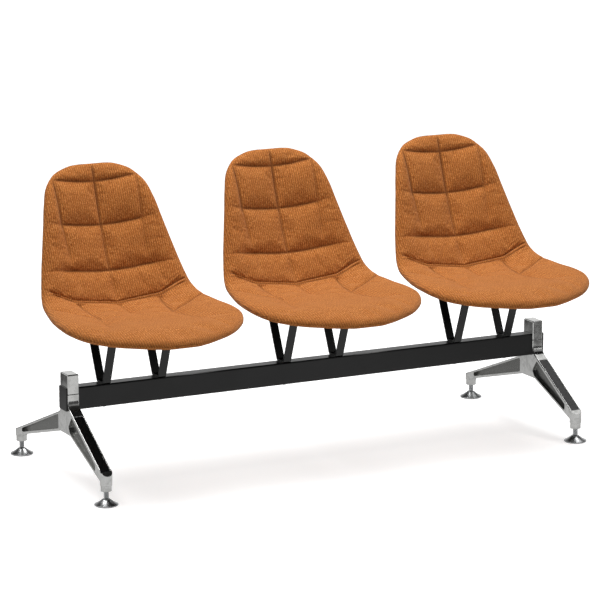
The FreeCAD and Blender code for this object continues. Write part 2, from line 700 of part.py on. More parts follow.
def build_bracket(number, name, side):
    """Flat bar bent to a V, with its foot across the beam and two flanges under the seat."""
    tag = "%d_%s" % (number, name)
    body = make_body("seat_bracket_%s" % tag)
    outline = make_sketch(body, "bar_outline_%s" % tag, "YZ_Plane")
    half = S.beam_depth / 2
    inner_rise = bracket_rise - S.bracket_bar
    front_slant = tangent(S.bracket_front_lean)
    rear_slant = tangent(S.bracket_rear_lean)
    front_skin = S.bracket_bar / cosine(S.bracket_front_lean)
    rear_skin = S.bracket_bar / cosine(S.bracket_rear_lean)
    foot_z = S.beam_top + S.bracket_bar
    flange_z = S.bracket_top - S.bracket_bar
    add_polygon(outline, [
        (-half, S.beam_top),
        (half, S.beam_top),
        (rear_strut_top, S.bracket_top),
        (rear_strut_top - S.rear_flange, S.bracket_top),
        (rear_strut_top - S.rear_flange, flange_z),
        (half + rear_slant * inner_rise - rear_skin, flange_z),
        (half + rear_slant * S.bracket_bar - rear_skin, foot_z),
        (-(half + front_slant * S.bracket_bar - front_skin), foot_z),
        (-(half + front_slant * inner_rise - front_skin), flange_z),
        (front_strut_top + S.front_flange, flange_z),
        (front_strut_top + S.front_flange, S.bracket_top),
        (front_strut_top, S.bracket_top),
    ])
    pad(body, outline, S.bracket_width, symmetric=True)
    outer_y = [half.value, front_strut_top.value, rear_strut_top.value]
    outer_z = [S.beam_top.value, S.bracket_top.value]
    free_ends = [(rear_strut_top - S.rear_flange).value, (front_strut_top + S.front_flange).value]

    def outer_bend(edge, middle):
        on_level = any(near(middle.z, level) for level in outer_z)
        on_side = any(near(middle.y, place_y) for place_y in outer_y) or near(middle.y, -half.value)
        return along_x(edge) and on_level and on_side

    def inner_bend(edge, middle):
        on_level = near(middle.z, foot_z.value) or near(middle.z, flange_z.value)
        return along_x(edge) and on_level and not any(near(middle.y, end) for end in free_ends)

    fillet(body, "outer_bends_%s" % tag, S.bend_inner + S.bracket_bar, outer_bend)
    fillet(body, "inner_bends_%s" % tag, S.bend_inner, inner_bend)
    foot_hole = make_sketch(body, "foot_hole_%s" % tag, "XY_Plane", S.beam_top)
    add_circle(foot_hole, 0.0, 0.0, S.bolt_diameter + S.thread_fit * 2)
    pocket(body, foot_hole, S.bracket_bar, reverse=True)
    flange_holes = make_sketch(body, "flange_holes_%s" % tag, "XY_Plane", flange_z)
    for screw_y in (front_screw_y, rear_screw_y):
        add_circle(flange_holes, 0.0, screw_y, bolt_hole)
    pocket(body, flange_holes, S.bracket_bar, reverse=True)
    place(body, seat_places[number] + S.bracket_spacing * side)


# Feet

def revolve(body, sketch):
    """Turn a sketch of the X-Z plane once round the upright axis."""
    feature = body.newObject("PartDesign::Revolution", sketch.Name + "_turned")
    feature.Profile = sketch
    feature.ReferenceAxis = (sketch, ["V_Axis"])
    feature.Angle = 360.0
    doc.recompute()
    return feature


ball_z = S.pad_thickness + S.ball_diameter / 2 + S.stud_fit
neck_top = S.foot_height + S.neck_room


def put_at_foot(body, tag):
    """Move a turned piece to the axis of its foot."""
    foot_x, foot_y = foot_places[tag]
    where = FreeCAD.Vector(foot_x.value, (foot_y + S.plan_shift).value, 0)
    body.Placement = FreeCAD.Placement(where, FreeCAD.Rotation())
    bind(body, "Placement.Base.x", foot_x)
    bind(body, "Placement.Base.y", foot_y + S.plan_shift)


def build_foot_cup(tag):
    """Conical metal foot with a ball socket that opens to the sole."""
    body = make_body("foot_cup_%s" % tag)
    outline = make_sketch(body, "cup_outline_%s" % tag, "XZ_Plane")
    rim = S.foot_diameter / 2
    add_polygon(outline, [
        (0.0, S.pad_thickness),
        (rim - S.pad_lip, S.pad_thickness),
        (rim - S.pad_lip, S.pad_proud),
        (rim, S.pad_proud),
        (rim, S.pad_proud + S.foot_rim),
        (S.foot_crown / 2, S.foot_height),
        (0.0, S.foot_height),
    ])
    revolve(body, outline)
    rounded = ((S.pad_proud + S.foot_rim).value, S.foot_height.value)

    def level_round(edge, middle):
        return any(near(middle.z, level) for level in rounded) and near(edge.BoundBox.ZLength, 0)

    fillet(body, "cup_rounds_%s" % tag, S.foot_edge, level_round)
    neck = make_sketch(body, "cup_neck_%s" % tag, "XY_Plane", S.pad_thickness)
    add_circle(neck, 0.0, 0.0, S.neck_diameter + S.neck_room * 2)
    pocket(body, neck, S.foot_height, reverse=True)
    throat = make_sketch(body, "cup_throat_%s" % tag, "XY_Plane", S.pad_thickness)
    add_circle(throat, 0.0, 0.0, S.ball_diameter + S.stud_fit * 2)
    pocket(body, throat, ball_z - S.pad_thickness, reverse=True)
    socket = body.newObject("PartDesign::SubtractiveSphere", "cup_socket_%s" % tag)
    bind(socket, "Radius", S.ball_diameter / 2 + S.stud_fit)
    socket.Placement = FreeCAD.Placement(FreeCAD.Vector(0, 0, ball_z.value), FreeCAD.Rotation())
    bind(socket, "Placement.Base.z", ball_z)
    doc.recompute()
    put_at_foot(body, tag)


def build_foot_sole(tag):
    """Plastic disc that the foot stands on."""
    body = make_body("foot_sole_%s" % tag)
    outline = make_sketch(body, "sole_outline_%s" % tag, "XZ_Plane")
    edge = S.foot_diameter / 2 - S.pad_lip - S.stud_fit
    add_polygon(outline, rectangle(0.0, edge, 0.0, S.pad_thickness))
    revolve(body, outline)
    put_at_foot(body, tag)


def build_foot_stud(tag):
    """Threaded stud with a neck and a ball at its lower end."""
    body = make_body("foot_stud_%s" % tag)
    outline = make_sketch(body, "stud_outline_%s" % tag, "XZ_Plane")
    tip = S.boss_bottom + S.stud_engaged
    add_polygon(outline, [
        (0.0, ball_z),
        (S.neck_diameter / 2, ball_z),
        (S.neck_diameter / 2, neck_top),
        (S.stud_diameter / 2, neck_top),
        (S.stud_diameter / 2, tip - S.stud_lead),
        (S.stud_diameter / 2 - S.stud_lead, tip),
        (0.0, tip),
    ])
    revolve(body, outline)
    ball = body.newObject("PartDesign::AdditiveSphere", "stud_ball_%s" % tag)
    bind(ball, "Radius", S.ball_diameter / 2)
    ball.Placement = FreeCAD.Placement(FreeCAD.Vector(0, 0, ball_z.value), FreeCAD.Rotation())
    bind(ball, "Placement.Base.z", ball_z)
    doc.recompute()
    put_at_foot(body, tag)


# Seats

# Stations along the middle line of a seat, from the top edge down to the crease and then
# forward. Columns: how far back and how far up from the crease, half width, tilt of the
# section in degrees, and how far the sides stand up from the middle line. On the back, the
# first two are shares of back_reach and back_rise, and on the pan of pan_length. The half
# width and the lift are shares of seat_width.
BACK_STATIONS = [
    (1.000, 1.000, 0.126, 73.0, 0.001),
    (0.969, 0.951, 0.227, 71.0, 0.008),
    (0.938, 0.905, 0.260, 70.0, 0.016),
    (0.914, 0.862, 0.282, 66.0, 0.034),
    (0.802, 0.719, 0.318, 62.0, 0.055),
    (0.670, 0.552, 0.343, 51.0, 0.066),
    (0.512, 0.390, 0.369, 42.0, 0.067),
    (0.327, 0.221, 0.396, 26.0, 0.070),
    (0.179, 0.097, 0.414, 14.0, 0.083),
    (0.000, 0.000, 0.430, -3.7, 0.095),
]
PAN_STATIONS = [
    (-0.066, -0.026, 0.446, -3.0, 0.077),
    (-0.171, -0.038, 0.462, -8.4, 0.070),
    (-0.324, -0.042, 0.485, -17.0, 0.062),
    (-0.465, -0.040, 0.500, -11.0, 0.054),
    (-0.577, -0.033, 0.497, -3.0, 0.038),
    (-0.683, -0.024, 0.462, 0.0, 0.012),
    (-0.770, -0.016, 0.406, 0.0, -0.007),
    (-0.859, -0.018, 0.324, 5.0, -0.015),
    (-0.922, -0.024, 0.239, 12.0, -0.016),
    (-0.976, -0.035, 0.152, 22.0, -0.010),
    (-1.000, -0.045, 0.091, 30.0, -0.001),
]
UPPER_SEAM, MIDDLE_SEAM, LOWER_SEAM, CREASE = 3, 5, 7, 9

# The edge of the upholstery takes at most this share of a section's half width, and a side
# seam lies at most that share out. Half way round the edge's quarter circle, a point has come
# in by MID_IN of the edge and up by MID_UP of the thickness. At the edge, a fold is half a seam.
EDGE_LIMIT = 0.14
SEAM_LIMIT = 0.8
MID_IN, MID_UP = 0.29, 0.71
EDGE_FOLD = 0.5

# At both ends of the path the section thins to END_LEAST of its thickness, with sections at
# END_SHARES of the edge. Where the path runs along the section's plane, the offset from it is
# stretched by at most STRETCH_LIMIT, to keep the real thickness. SLOPE_STEP is the share of a
# span over which the path's direction is measured.
END_LEAST = 0.2
END_SHARES = (0.2, 0.6)
STRETCH_LIMIT = 1.5
SLOPE_STEP = 0.02

# No other section lies between these shares of the shell's inset from an end, where the
# shell's own end sections are.
INSET_CLEAR = (0.63, 1.17)


class Station:
    """One section of a seat: middle point, half width, tilt and lift, at a place on the path."""

    def __init__(self, y, z, half, tilt, lift):
        self.y, self.z = y, z
        self.half, self.tilt, self.lift = half, tilt, lift
        self.path = 0.0
        self.stretch = 1.0
        self.end_share = 1.0
        self.seam = 0.0
        self.centre_seam = 0.0
        self.side_seam = 0.0

    def rise(self, x):
        """Height of the parting line above the middle, at x across the seat."""
        radius = (self.half ** 2 + self.lift ** 2) / (2 * abs(self.lift))
        height = radius - math.sqrt(radius ** 2 - x ** 2)
        return math.copysign(height, self.lift)

    def point(self, x, offset):
        """Point of the section at x across, offset from the parting line towards the sitter."""
        angle = math.radians(self.tilt)
        height = self.rise(x) + offset * self.stretch
        return FreeCAD.Vector(x, self.y - math.sin(angle) * height, self.z + math.cos(angle) * height)


def seat_rows():
    """The table's stations in millimetres, with their places on the path."""
    rows = []
    for part, (back, up, half, tilt, lift) in enumerate(BACK_STATIONS + PAN_STATIONS):
        on_back = part < len(BACK_STATIONS)
        reach = S.back_reach if on_back else S.pan_length
        rise = S.back_rise if on_back else S.pan_length
        rows.append(Station(
            S.crease_y.value + back * reach.value, S.crease_z.value + up * rise.value,
            half * S.seat_width.value, tilt, lift * S.seat_width.value,
        ))
    for before, after in zip(rows, rows[1:]):
        after.path = before.path + math.hypot(after.y - before.y, after.z - before.z)
    return rows


def hermite(rows, index, share, name):
    """Smooth value of one column between two rows."""
    def slope(at):
        low, high = max(at - 1, 0), min(at + 1, len(rows) - 1)
        return (getattr(rows[high], name) - getattr(rows[low], name)) / (rows[high].path - rows[low].path)

    first, second = rows[index], rows[index + 1]
    span = second.path - first.path
    square, cube = share ** 2, share ** 3
    return (
        getattr(first, name) * (2 * cube - 3 * square + 1) + slope(index) * span * (cube - 2 * square + share)
        + getattr(second, name) * (3 * square - 2 * cube) + slope(index + 1) * span * (cube - square)
    )


def station_at(rows, path):
    """Station at a place on the path, with everything that depends on that place."""
    index = max(at for at in range(len(rows) - 1) if rows[at].path <= path + 1e-6)
    share = (path - rows[index].path) / (rows[index + 1].path - rows[index].path)
    columns = [hermite(rows, index, share, name) for name in ("y", "z", "half", "tilt", "lift")]
    station = Station(*columns)
    station.path = path
    angle = math.radians(station.tilt)
    before, after = max(share - SLOPE_STEP, 0.0), min(share + SLOPE_STEP, 1.0)
    step_y = hermite(rows, index, after, "y") - hermite(rows, index, before, "y")
    step_z = hermite(rows, index, after, "z") - hermite(rows, index, before, "z")
    facing = abs(step_z * math.sin(angle) + step_y * math.cos(angle)) / math.hypot(step_y, step_z)
    station.stretch = min(1 / facing, STRETCH_LIMIT)
    to_end = min(path, rows[-1].path - path, S.seat_edge.value)
    station.end_share = max(math.sqrt(1 - (1 - to_end / S.seat_edge.value) ** 2), END_LEAST)
    seams = [rows[at].path for at in (UPPER_SEAM, MIDDLE_SEAM, LOWER_SEAM)]
    station.seam = float(any(near(path, seam) for seam in seams))
    if near(path, rows[CREASE].path):
        station.seam = S.crease_share.value
    station.centre_seam = float(path <= rows[CREASE].path)
    station.side_seam = 1.0 if seams[0] < path < seams[2] + S.seam_zone.value else S.faint_share.value
    if path <= seams[0]:
        station.side_seam = 0.0
    return station


def seat_stations():
    """Every station used for the seat's solids, from the top edge to the front edge."""
    rows = seat_rows()
    length = rows[-1].path
    places = [row.path for row in rows]
    for at in (UPPER_SEAM, MIDDLE_SEAM, LOWER_SEAM, CREASE):
        places += [rows[at].path - S.seam_zone.value, rows[at].path + S.seam_zone.value]
    for share in END_SHARES:
        places += [S.seat_edge.value * share, length - S.seat_edge.value * share]
    inset = S.shell_inset.value
    low, high = INSET_CLEAR[0] * inset, INSET_CLEAR[1] * inset
    places = [place for place in places if not low < min(place, length - place) < high]
    places += [inset - S.soft_gap.value, inset, length - inset, length - inset + S.soft_gap.value]
    return [station_at(rows, path) for path in sorted(places)]


def arc(first, middle, last):
    """Edge along the circle through three points."""
    return Part.Arc(first, middle, last).toShape()


def line(first, last):
    """Straight edge between two points."""
    return Part.makeLine(first, last)


def foam_height(seam):
    """Front padding above the parting line, from 0 on a panel's crown to 1 on a seam."""
    crown = S.pad_foam.value + S.puff.value - S.seam_cut.value
    return crown - S.puff.value * seam


def pad_section(station):
    """Outline of the front padding: rounded edges, and a crowned arc from seam to seam."""
    half = station.half
    edge = min(S.seat_edge.value, EDGE_LIMIT * half)
    side = min(S.side_seam.value, SEAM_LIMIT * half)
    gap = S.soft_gap.value / 2

    def top(x, seam):
        return station.point(x, foam_height(max(seam, station.seam)) * station.end_share)

    knots = [
        (half - edge, EDGE_FOLD),
        (side, station.side_seam),
        (0.0, station.centre_seam),
        (-side, station.side_seam),
        (edge - half, EDGE_FOLD),
    ]
    tip_right, tip_left = station.point(half, gap), station.point(-half, gap)
    shoulder = foam_height(max(EDGE_FOLD, station.seam)) * station.end_share
    mid_x = half - MID_IN * edge
    edges = [arc(tip_right, station.point(mid_x, MID_UP * shoulder), top(*knots[0]))]
    for (start_x, start_seam), (end_x, end_seam) in zip(knots, knots[1:]):
        edges.append(arc(top(start_x, start_seam), top((start_x + end_x) / 2, 0.0), top(end_x, end_seam)))
    edges.append(arc(top(*knots[-1]), station.point(-mid_x, MID_UP * shoulder), tip_left))
    edges.append(arc(tip_left, station.point(0.0, gap), tip_right))
    return Part.Wire(edges)


def cover_section(station):
    """Outline of the rear half: flat against the parting line and rounded at its edges."""
    half = station.half
    edge = min(S.seat_edge.value, EDGE_LIMIT * half)
    gap = S.soft_gap.value / 2
    depth = S.cover_foam.value * station.end_share
    tip_right, tip_left = station.point(half, -gap), station.point(-half, -gap)
    rear_right, rear_left = station.point(half - edge, -depth), station.point(edge - half, -depth)
    mid_x = half - MID_IN * edge
    return Part.Wire([
        arc(tip_right, station.point(mid_x, -MID_UP * depth), rear_right),
        arc(rear_right, station.point(0.0, -depth), rear_left),
        arc(rear_left, station.point(-mid_x, -MID_UP * depth), tip_left),
        arc(tip_left, station.point(0.0, -gap), tip_right),
    ])


def shell_section(station, grow, front):
    """Outline of the moulded shell, or of the hollow that takes it."""
    half = station.half - S.shell_inset.value + grow
    rear = -(S.soft_gap.value / 2 + S.shell_thickness.value + grow)
    return Part.Wire([
        arc(station.point(half, front), station.point(0.0, front), station.point(-half, front)),
        line(station.point(-half, front), station.point(-half, rear)),
        arc(station.point(-half, rear), station.point(0.0, rear), station.point(half, rear)),
        line(station.point(half, rear), station.point(half, front)),
    ])


def solid_loft(sections):
    """Solid with straight sides from each section to the next."""
    shape = Part.makeLoft(sections, True, True)
    if shape.Volume < 0:
        shape.reverse()
    return shape


def stations_between(stations, low, high):
    """Stations whose places on the path lie between two places, both of them included."""
    return [item for item in stations if near(item.path, max(low, min(item.path, high)))]


def seat_shapes():
    """The three solids of a seat, round the seat's own middle and the beam's centre line."""
    stations = seat_stations()
    length = stations[-1].path
    inset = S.shell_inset.value
    gap = S.soft_gap.value
    pad_shape = solid_loft([pad_section(station) for station in stations])
    cover_shape = solid_loft([cover_section(station) for station in stations])
    inside = stations_between(stations, inset, length - inset)
    shell_shape = solid_loft([shell_section(station, 0.0, -gap / 2) for station in inside])
    hollow = stations_between(stations, inset - gap, length - inset + gap)
    hollow_shape = solid_loft([shell_section(station, gap, 2 * gap) for station in hollow])
    cover_shape = cover_shape.cut(hollow_shape)
    low = S.bracket_top.value
    for x, y in seat_screw_places(formula(0.0)):
        foot = FreeCAD.Vector(x.value, y.value, low)
        height = S.front_boss_reach.value if y.value < 0 else S.rear_boss_reach.value
        shell_shape = shell_shape.fuse(Part.makeCylinder(S.shell_boss.value / 2, height, foot))
        cover_shape = cover_shape.cut(Part.makeCylinder(S.shell_boss.value / 2 + gap, 2 * height, foot))
    for x, y in seat_screw_places(formula(0.0)):
        foot = FreeCAD.Vector(x.value, y.value, low)
        bore_radius = (S.insert_diameter / 2 + S.thread_fit).value
        bore = Part.makeCylinder(bore_radius, S.insert_length.value, foot)
        shell_shape = shell_shape.cut(bore)
    return {"seat_inner_shell": shell_shape, "seat_rear_cover": cover_shape, "seat_quilted_pad": pad_shape}


def build_seats():
    """Shell, front padding and rear cover of every seat."""
    pieces = []
    for name, shape in seat_shapes().items():
        for number, seat_x in seat_places.items():
            piece = doc.addObject("Part::Feature", "%s_%d" % (name, number))
            piece.Label = piece.Name
            piece.Shape = shape
            piece.Placement = FreeCAD.Placement(
                FreeCAD.Vector(seat_x.value, S.plan_shift.value, 0), FreeCAD.Rotation(),
            )
            bind(piece, "Placement.Base.x", seat_x)
            bind(piece, "Placement.Base.y", S.plan_shift)
            pieces.append(piece)
    return pieces


def build_all():
    """Build every sub-part of the bench and return them."""
    build_beam()
    for name, side in LEG_SIDES.items():
        build_plug(name, side)
        build_leg(name)
        build_cap(name)
        build_clamp_bolts(name)
    for number in seat_places:
        for name, side in (("left", -0.5), ("right", 0.5)):
            build_bracket(number, name, side)
        build_bracket_bolts(number)
        build_seat_screws(number)
        build_seat_rings(number)
    for tag in foot_places:
        build_foot_cup(tag)
        build_foot_sole(tag)
        build_foot_stud(tag)
    pieces = build_seats()
    doc.recompute()
    return pieces + [item for item in doc.Objects if item.TypeId == "PartDesign::Body"]


def check(pieces):
    """Stop when any object has failed or any sub-part has no valid solid."""
    failed = [item.Label for item in doc.Objects if {"Invalid", "Error"} & set(item.State)]
    for piece in pieces:
        if piece.Shape.isNull() or not piece.Shape.isValid() or not piece.Shape.Solids:
            failed.append(piece.Label)
    if failed:
        raise ValueError("failed: " + ", ".join(failed))


def export(pieces):
    """Write each sub-part to a file of its own name."""
    os.makedirs("parts", exist_ok=True)
    for piece in pieces:
        piece.Shape.exportStep("parts/%s.step" % piece.Label)
        print(piece.Label, len(piece.Shape.Solids), piece.Shape.BoundBox)


if __name__ == "__main__":
    pieces = build_all()
    check(pieces)
    export(pieces)
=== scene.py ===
"""Looks of a three-seat beam bench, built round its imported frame.

Sizes of the bench are in millimetres and turn to metres where a mesh is made. The studio is in
metres. X runs along the beam, the seats face -Y, and Z is up from the floor.
"""
import json
import logging
import math
from collections.abc import Callable
from dataclasses import dataclass
from enum import Enum

import bmesh
import bpy
import numpy as np
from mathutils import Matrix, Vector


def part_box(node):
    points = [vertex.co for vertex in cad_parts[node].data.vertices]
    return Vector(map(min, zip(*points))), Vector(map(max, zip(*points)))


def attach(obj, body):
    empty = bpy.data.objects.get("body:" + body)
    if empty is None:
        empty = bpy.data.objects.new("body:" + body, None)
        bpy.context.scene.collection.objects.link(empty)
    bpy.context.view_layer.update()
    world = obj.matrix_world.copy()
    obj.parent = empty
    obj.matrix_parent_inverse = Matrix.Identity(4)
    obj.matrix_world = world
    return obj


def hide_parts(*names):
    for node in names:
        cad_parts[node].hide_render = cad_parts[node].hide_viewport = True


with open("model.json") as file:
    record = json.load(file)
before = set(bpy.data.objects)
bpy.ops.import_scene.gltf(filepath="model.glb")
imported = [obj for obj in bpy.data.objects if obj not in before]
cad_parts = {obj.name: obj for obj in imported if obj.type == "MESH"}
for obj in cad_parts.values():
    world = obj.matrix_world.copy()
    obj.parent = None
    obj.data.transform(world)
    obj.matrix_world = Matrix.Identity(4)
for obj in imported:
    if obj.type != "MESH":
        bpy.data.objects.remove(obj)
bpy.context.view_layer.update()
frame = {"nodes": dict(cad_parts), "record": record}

MM = 0.001
SEAT_CENTRES = (-525.0, 0.0, 525.0)
LOG = logging.getLogger("bench")


class Slot(Enum):
    """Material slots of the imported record."""

    BLACK_STEEL = "black_steel"
    CASTING = "polished_casting"
    FOOT = "chromed_foot"
    ZINC = "zinc_steel"
    BLACKENED = "blackened_steel"
    BLACK_PLASTIC = "black_plastic"
    GREY_PLASTIC = "grey_plastic"
    FABRIC = "orange_fabric"
    BRASS = "brass_insert"


class LegSide(Enum):
    """The two legs."""

    LEFT = "left"
    RIGHT = "right"


class FootEnd(Enum):
    """The two feet of a leg."""

    FRONT = "front"
    REAR = "rear"


# Colour and node helpers

def linear(colour: str) -> tuple[float, float, float, float]:
    """Turn an sRGB hex colour to linear.

    Args:
        colour: Six hex digits after a hash.

    Returns:
        Red, green, blue and alpha for a shader socket.
    """
    parts = [int(colour[at:at + 2], 16) / 255.0 for at in (1, 3, 5)]
    red, green, blue = [
        part / 12.92 if part <= 0.04045 else ((part + 0.055) / 1.055) ** 2.4 for part in parts
    ]
    return red, green, blue, 1.0


def add_node(
    tree: bpy.types.NodeTree, kind: str, settings: dict | None = None,
    stops: list[tuple[float, tuple]] | None = None, **links: object,
) -> bpy.types.Node:
    """Add a node with its settings and links.

    Args:
        tree: Node tree that gets the node.
        kind: Blender's name of the node type.
        settings: Attributes of the node, such as its blend type.
        stops: Position and colour of each stop of a colour ramp, in order.
        **links: Value, output or node for each input socket, where a node stands for its first
            output. A socket goes by its name, with underscores for spaces, or by an underscore
            and its number.

    Returns:
        The new node.
    """
    node = tree.nodes.new(kind)
    for name, value in (settings or {}).items():
        setattr(node, name, value)
    if stops:
        elements = node.color_ramp.elements
        while len(elements) < len(stops):
            elements.new(1.0)
        for element, (position, colour) in zip(elements, stops):
            element.position = position
            element.color = colour
    for name, value in links.items():
        key = int(name[1:]) if name[0] == "_" and name[1:].isdigit() else name.replace("_", " ")
        socket = node.inputs[key]
        source = value.outputs[0] if isinstance(value, bpy.types.Node) else value
        if isinstance(source, bpy.types.NodeSocket):
            tree.links.new(source, socket)
        else:
            socket.default_value = source
    return node


def grey(value: float) -> tuple[float, float, float, float]:
    """Linear grey of one value."""
    return value, value, value, 1.0


def new_material(name: str) -> tuple[bpy.types.Material, bpy.types.NodeTree]:
    """Make an empty node material.

    Args:
        name: Name of the material.

    Returns:
        The material and its cleared node tree.
    """
    material = bpy.data.materials.new(name)
    material.use_nodes = True
    material.node_tree.nodes.clear()
    return material, material.node_tree


# Finishes

@dataclass(frozen=True)
class WovenFabric:
    """Polyester upholstery in a melange weave with fine ribs along its length.

    Short lighter and darker yarn stretches give a mottled orange. The loose fibres catch light
    at grazing angles, so there is sheen and nearly no gloss. The grooves between ribs get painted
    shade and the rib tops a little painted light, and the valleys of seams and folds get painted
    shade. Sizes are in millimetres, and the ribs are drawn about twice as wide as real ones,
    because finer ones wouldn't show.
    """

    name: str
    ground: str
    light_yarn: str
    dark_yarn: str
    seam_shade_colour: str
    sheen_tint: str = "#FFDDB8"
    sheen: float = 0.18
    roughness: float = 0.92
    rib_pitch: float = 6.2
    pick_pitch: float = 3.844
    wander: float = 1.0
    wander_length: float = 30.0
    yarn_length: float = 7.0
    yarn_width: float = 1.8
    patch_width: float = 28.0
    relief: float = 0.32

    def build(self) -> bpy.types.Material:
        """Build the material on the piece's Weave map, whose unit is a metre along the cloth.

        Returns:
            The finished material.
        """
        material, tree = new_material(self.name)
        times, times_plus, sine = [{"operation": name} for name in ("MULTIPLY", "MULTIPLY_ADD", "SINE")]
        cloth = add_node(tree, "ShaderNodeUVMap", {"uv_map": "Weave"})
        split = add_node(tree, "ShaderNodeSeparateXYZ", Vector=cloth)
        stretched = add_node(
            tree, "ShaderNodeMapping", Vector=cloth, Scale=(self.yarn_length / self.yarn_width, 1.0, 1.0),
        )
        drift, yarn, fleck, patch = [
            add_node(
                tree, "ShaderNodeTexNoise", {"noise_dimensions": "2D"}, Vector=vector,
                Scale=1 / (size * MM), Detail=detail, Roughness=0.6,
            )
            for vector, size, detail in (
                (cloth, self.wander_length, 1.0), (stretched, self.yarn_length, 2.0),
                (cloth, self.yarn_width * 1.4, 3.0), (cloth, self.patch_width, 4.0),
            )
        ]
        # A rib is a sine wave across the cloth, and the twill is one that slants over two ribs.
        wandering = add_node(
            tree, "ShaderNodeMath", times_plus, _0=drift, _1=self.wander * MM, _2=split.outputs["X"],
        )
        rib_turns = add_node(
            tree, "ShaderNodeMath", times, _0=wandering, _1=2 * math.pi / (self.rib_pitch * MM),
        )
        rib_wave = add_node(tree, "ShaderNodeMath", sine, _0=rib_turns)
        rib = add_node(tree, "ShaderNodeMath", times_plus, _0=rib_wave, _1=0.5, _2=0.5)
        pick_turns = add_node(
            tree, "ShaderNodeMath", times, _0=split.outputs["Y"], _1=2 * math.pi / (self.pick_pitch * MM),
        )
        twill_turns = add_node(tree, "ShaderNodeMath", times_plus, _0=rib_turns, _1=0.5, _2=pick_turns)
        twill_wave = add_node(tree, "ShaderNodeMath", sine, _0=twill_turns)
        twill = add_node(tree, "ShaderNodeMath", times_plus, _0=twill_wave, _1=0.5, _2=0.5)
        # Lighter and darker yarn: mostly long stretches and flecks, and a little in wide patches.
        patches = add_node(tree, "ShaderNodeMath", times, _0=patch, _1=0.08)
        flecks = add_node(tree, "ShaderNodeMath", times_plus, _0=fleck, _1=0.44, _2=patches)
        mottle = add_node(tree, "ShaderNodeMath", times_plus, _0=yarn, _1=0.48, _2=flecks)
        colour = add_node(tree, "ShaderNodeValToRGB", Fac=mottle, stops=[
            (0.38, linear(self.dark_yarn)), (0.50, linear(self.ground)), (0.62, linear(self.light_yarn)),
        ])
        # Painted shade darkens the grooves between ribs and, where the seam attribute is, the valleys of
        # seams and folds.
        slants = add_node(tree, "ShaderNodeMath", times, _0=twill, _1=0.25)
        thread = add_node(tree, "ShaderNodeMath", times_plus, _0=rib, _1=0.75, _2=slants)
        # Painted shade in the rib grooves and a little painted light on the rib tops, multiplied into the
        # colour.
        groove = add_node(
            tree, "ShaderNodeValToRGB", Fac=thread,
            stops=[(0.05, grey(0.64)), (0.5, grey(1.0)), (0.95, grey(1.10))],
        )
        rib_shaded = add_node(
            tree, "ShaderNodeMix", {"data_type": "RGBA", "blend_type": "MULTIPLY"},
            _0=1.0, _6=colour, _7=groove,
        ).outputs[2]
        seam = add_node(tree, "ShaderNodeAttribute", {"attribute_name": "Seam"}).outputs["Fac"]
        # The seam attribute is painted shade of the seam and fold valleys, and the colour mixes towards the
        # seam's shade colour by it.
        pinch = add_node(tree, "ShaderNodeMath", times, _0=seam, _1=0.75)
        seam_shaded = add_node(
            tree, "ShaderNodeMix", {"data_type": "RGBA"}, _0=pinch, _6=rib_shaded, _7=linear(self.seam_shade_colour),
        ).outputs[2]
        weave = add_node(tree, "ShaderNodeMath", times_plus, _0=twill, _1=0.60, _2=rib)
        height = add_node(tree, "ShaderNodeMath", times_plus, _0=fleck, _1=0.35, _2=weave)
        bump = add_node(tree, "ShaderNodeBump", Height=height, Strength=0.5, Distance=self.relief * MM)
        shader = add_node(
            tree, "ShaderNodeBsdfPrincipled", Base_Color=seam_shaded, Roughness=self.roughness,
            Sheen_Weight=self.sheen, Sheen_Roughness=0.5, Sheen_Tint=linear(self.sheen_tint),
            Specular_IOR_Level=0.15, Normal=bump,
        )
        add_node(tree, "ShaderNodeOutputMaterial", Surface=shader)
        return material


@dataclass(frozen=True)
class GrainedFinish:
    """A finish of one colour with a fine grain: paint, polished or plated metal, or plastic.

    The grain is a small relief and a slight change of gloss, at the size in millimetres that
    the real process leaves, such as orange peel in powder coat or ripple in polished plating.
    Handling leaves wider and slightly darker patches. The shading rounds hard edges a little.
    """

    name: str
    colour: str
    metallic: float
    roughness: float
    grain: float
    relief: float
    gloss_change: float = 0.06
    edge: float = 0.0
    patch_width: float = 60.0
    patch_tone: float = 0.9

    def build(self) -> bpy.types.Material:
        """Build the material on Object coordinates, which are metres here.

        Returns:
            The finished material.
        """
        material, tree = new_material(self.name)
        place = add_node(tree, "ShaderNodeTexCoord").outputs["Object"]
        grain, wear = [
            add_node(
                tree, "ShaderNodeTexNoise", Vector=place, Scale=1 / (size * MM), Detail=detail,
                Roughness=roughness,
            )
            for size, detail, roughness in ((self.grain, 3.0, 0.55), (self.patch_width, 4.0, 0.6))
        ]
        mixed = add_node(tree, "ShaderNodeMix", {"data_type": "FLOAT"}, _0=0.6, _2=grain, _3=wear)
        gloss = add_node(
            tree, "ShaderNodeMapRange", Value=mixed, From_Min=0.3, From_Max=0.7,
            To_Min=self.roughness - self.gloss_change, To_Max=self.roughness + self.gloss_change,
        )
        base = linear(self.colour)
        darker = tuple(part * self.patch_tone for part in base[:3]) + (1.0,)
        colour = add_node(tree, "ShaderNodeValToRGB", Fac=wear, stops=[(0.35, darker), (0.6, base)])
        bump = add_node(tree, "ShaderNodeBump", Height=grain, Strength=0.5, Distance=self.relief * MM)
        if self.edge:
            rounded = add_node(tree, "ShaderNodeBevel", {"samples": 4}, Radius=self.edge * MM)
            tree.links.new(rounded.outputs["Normal"], bump.inputs["Normal"])
        shader = add_node(
            tree, "ShaderNodeBsdfPrincipled", Base_Color=colour, Metallic=self.metallic, Roughness=gloss,
            Normal=bump,
        )
        add_node(tree, "ShaderNodeOutputMaterial", Surface=shader)
        return material


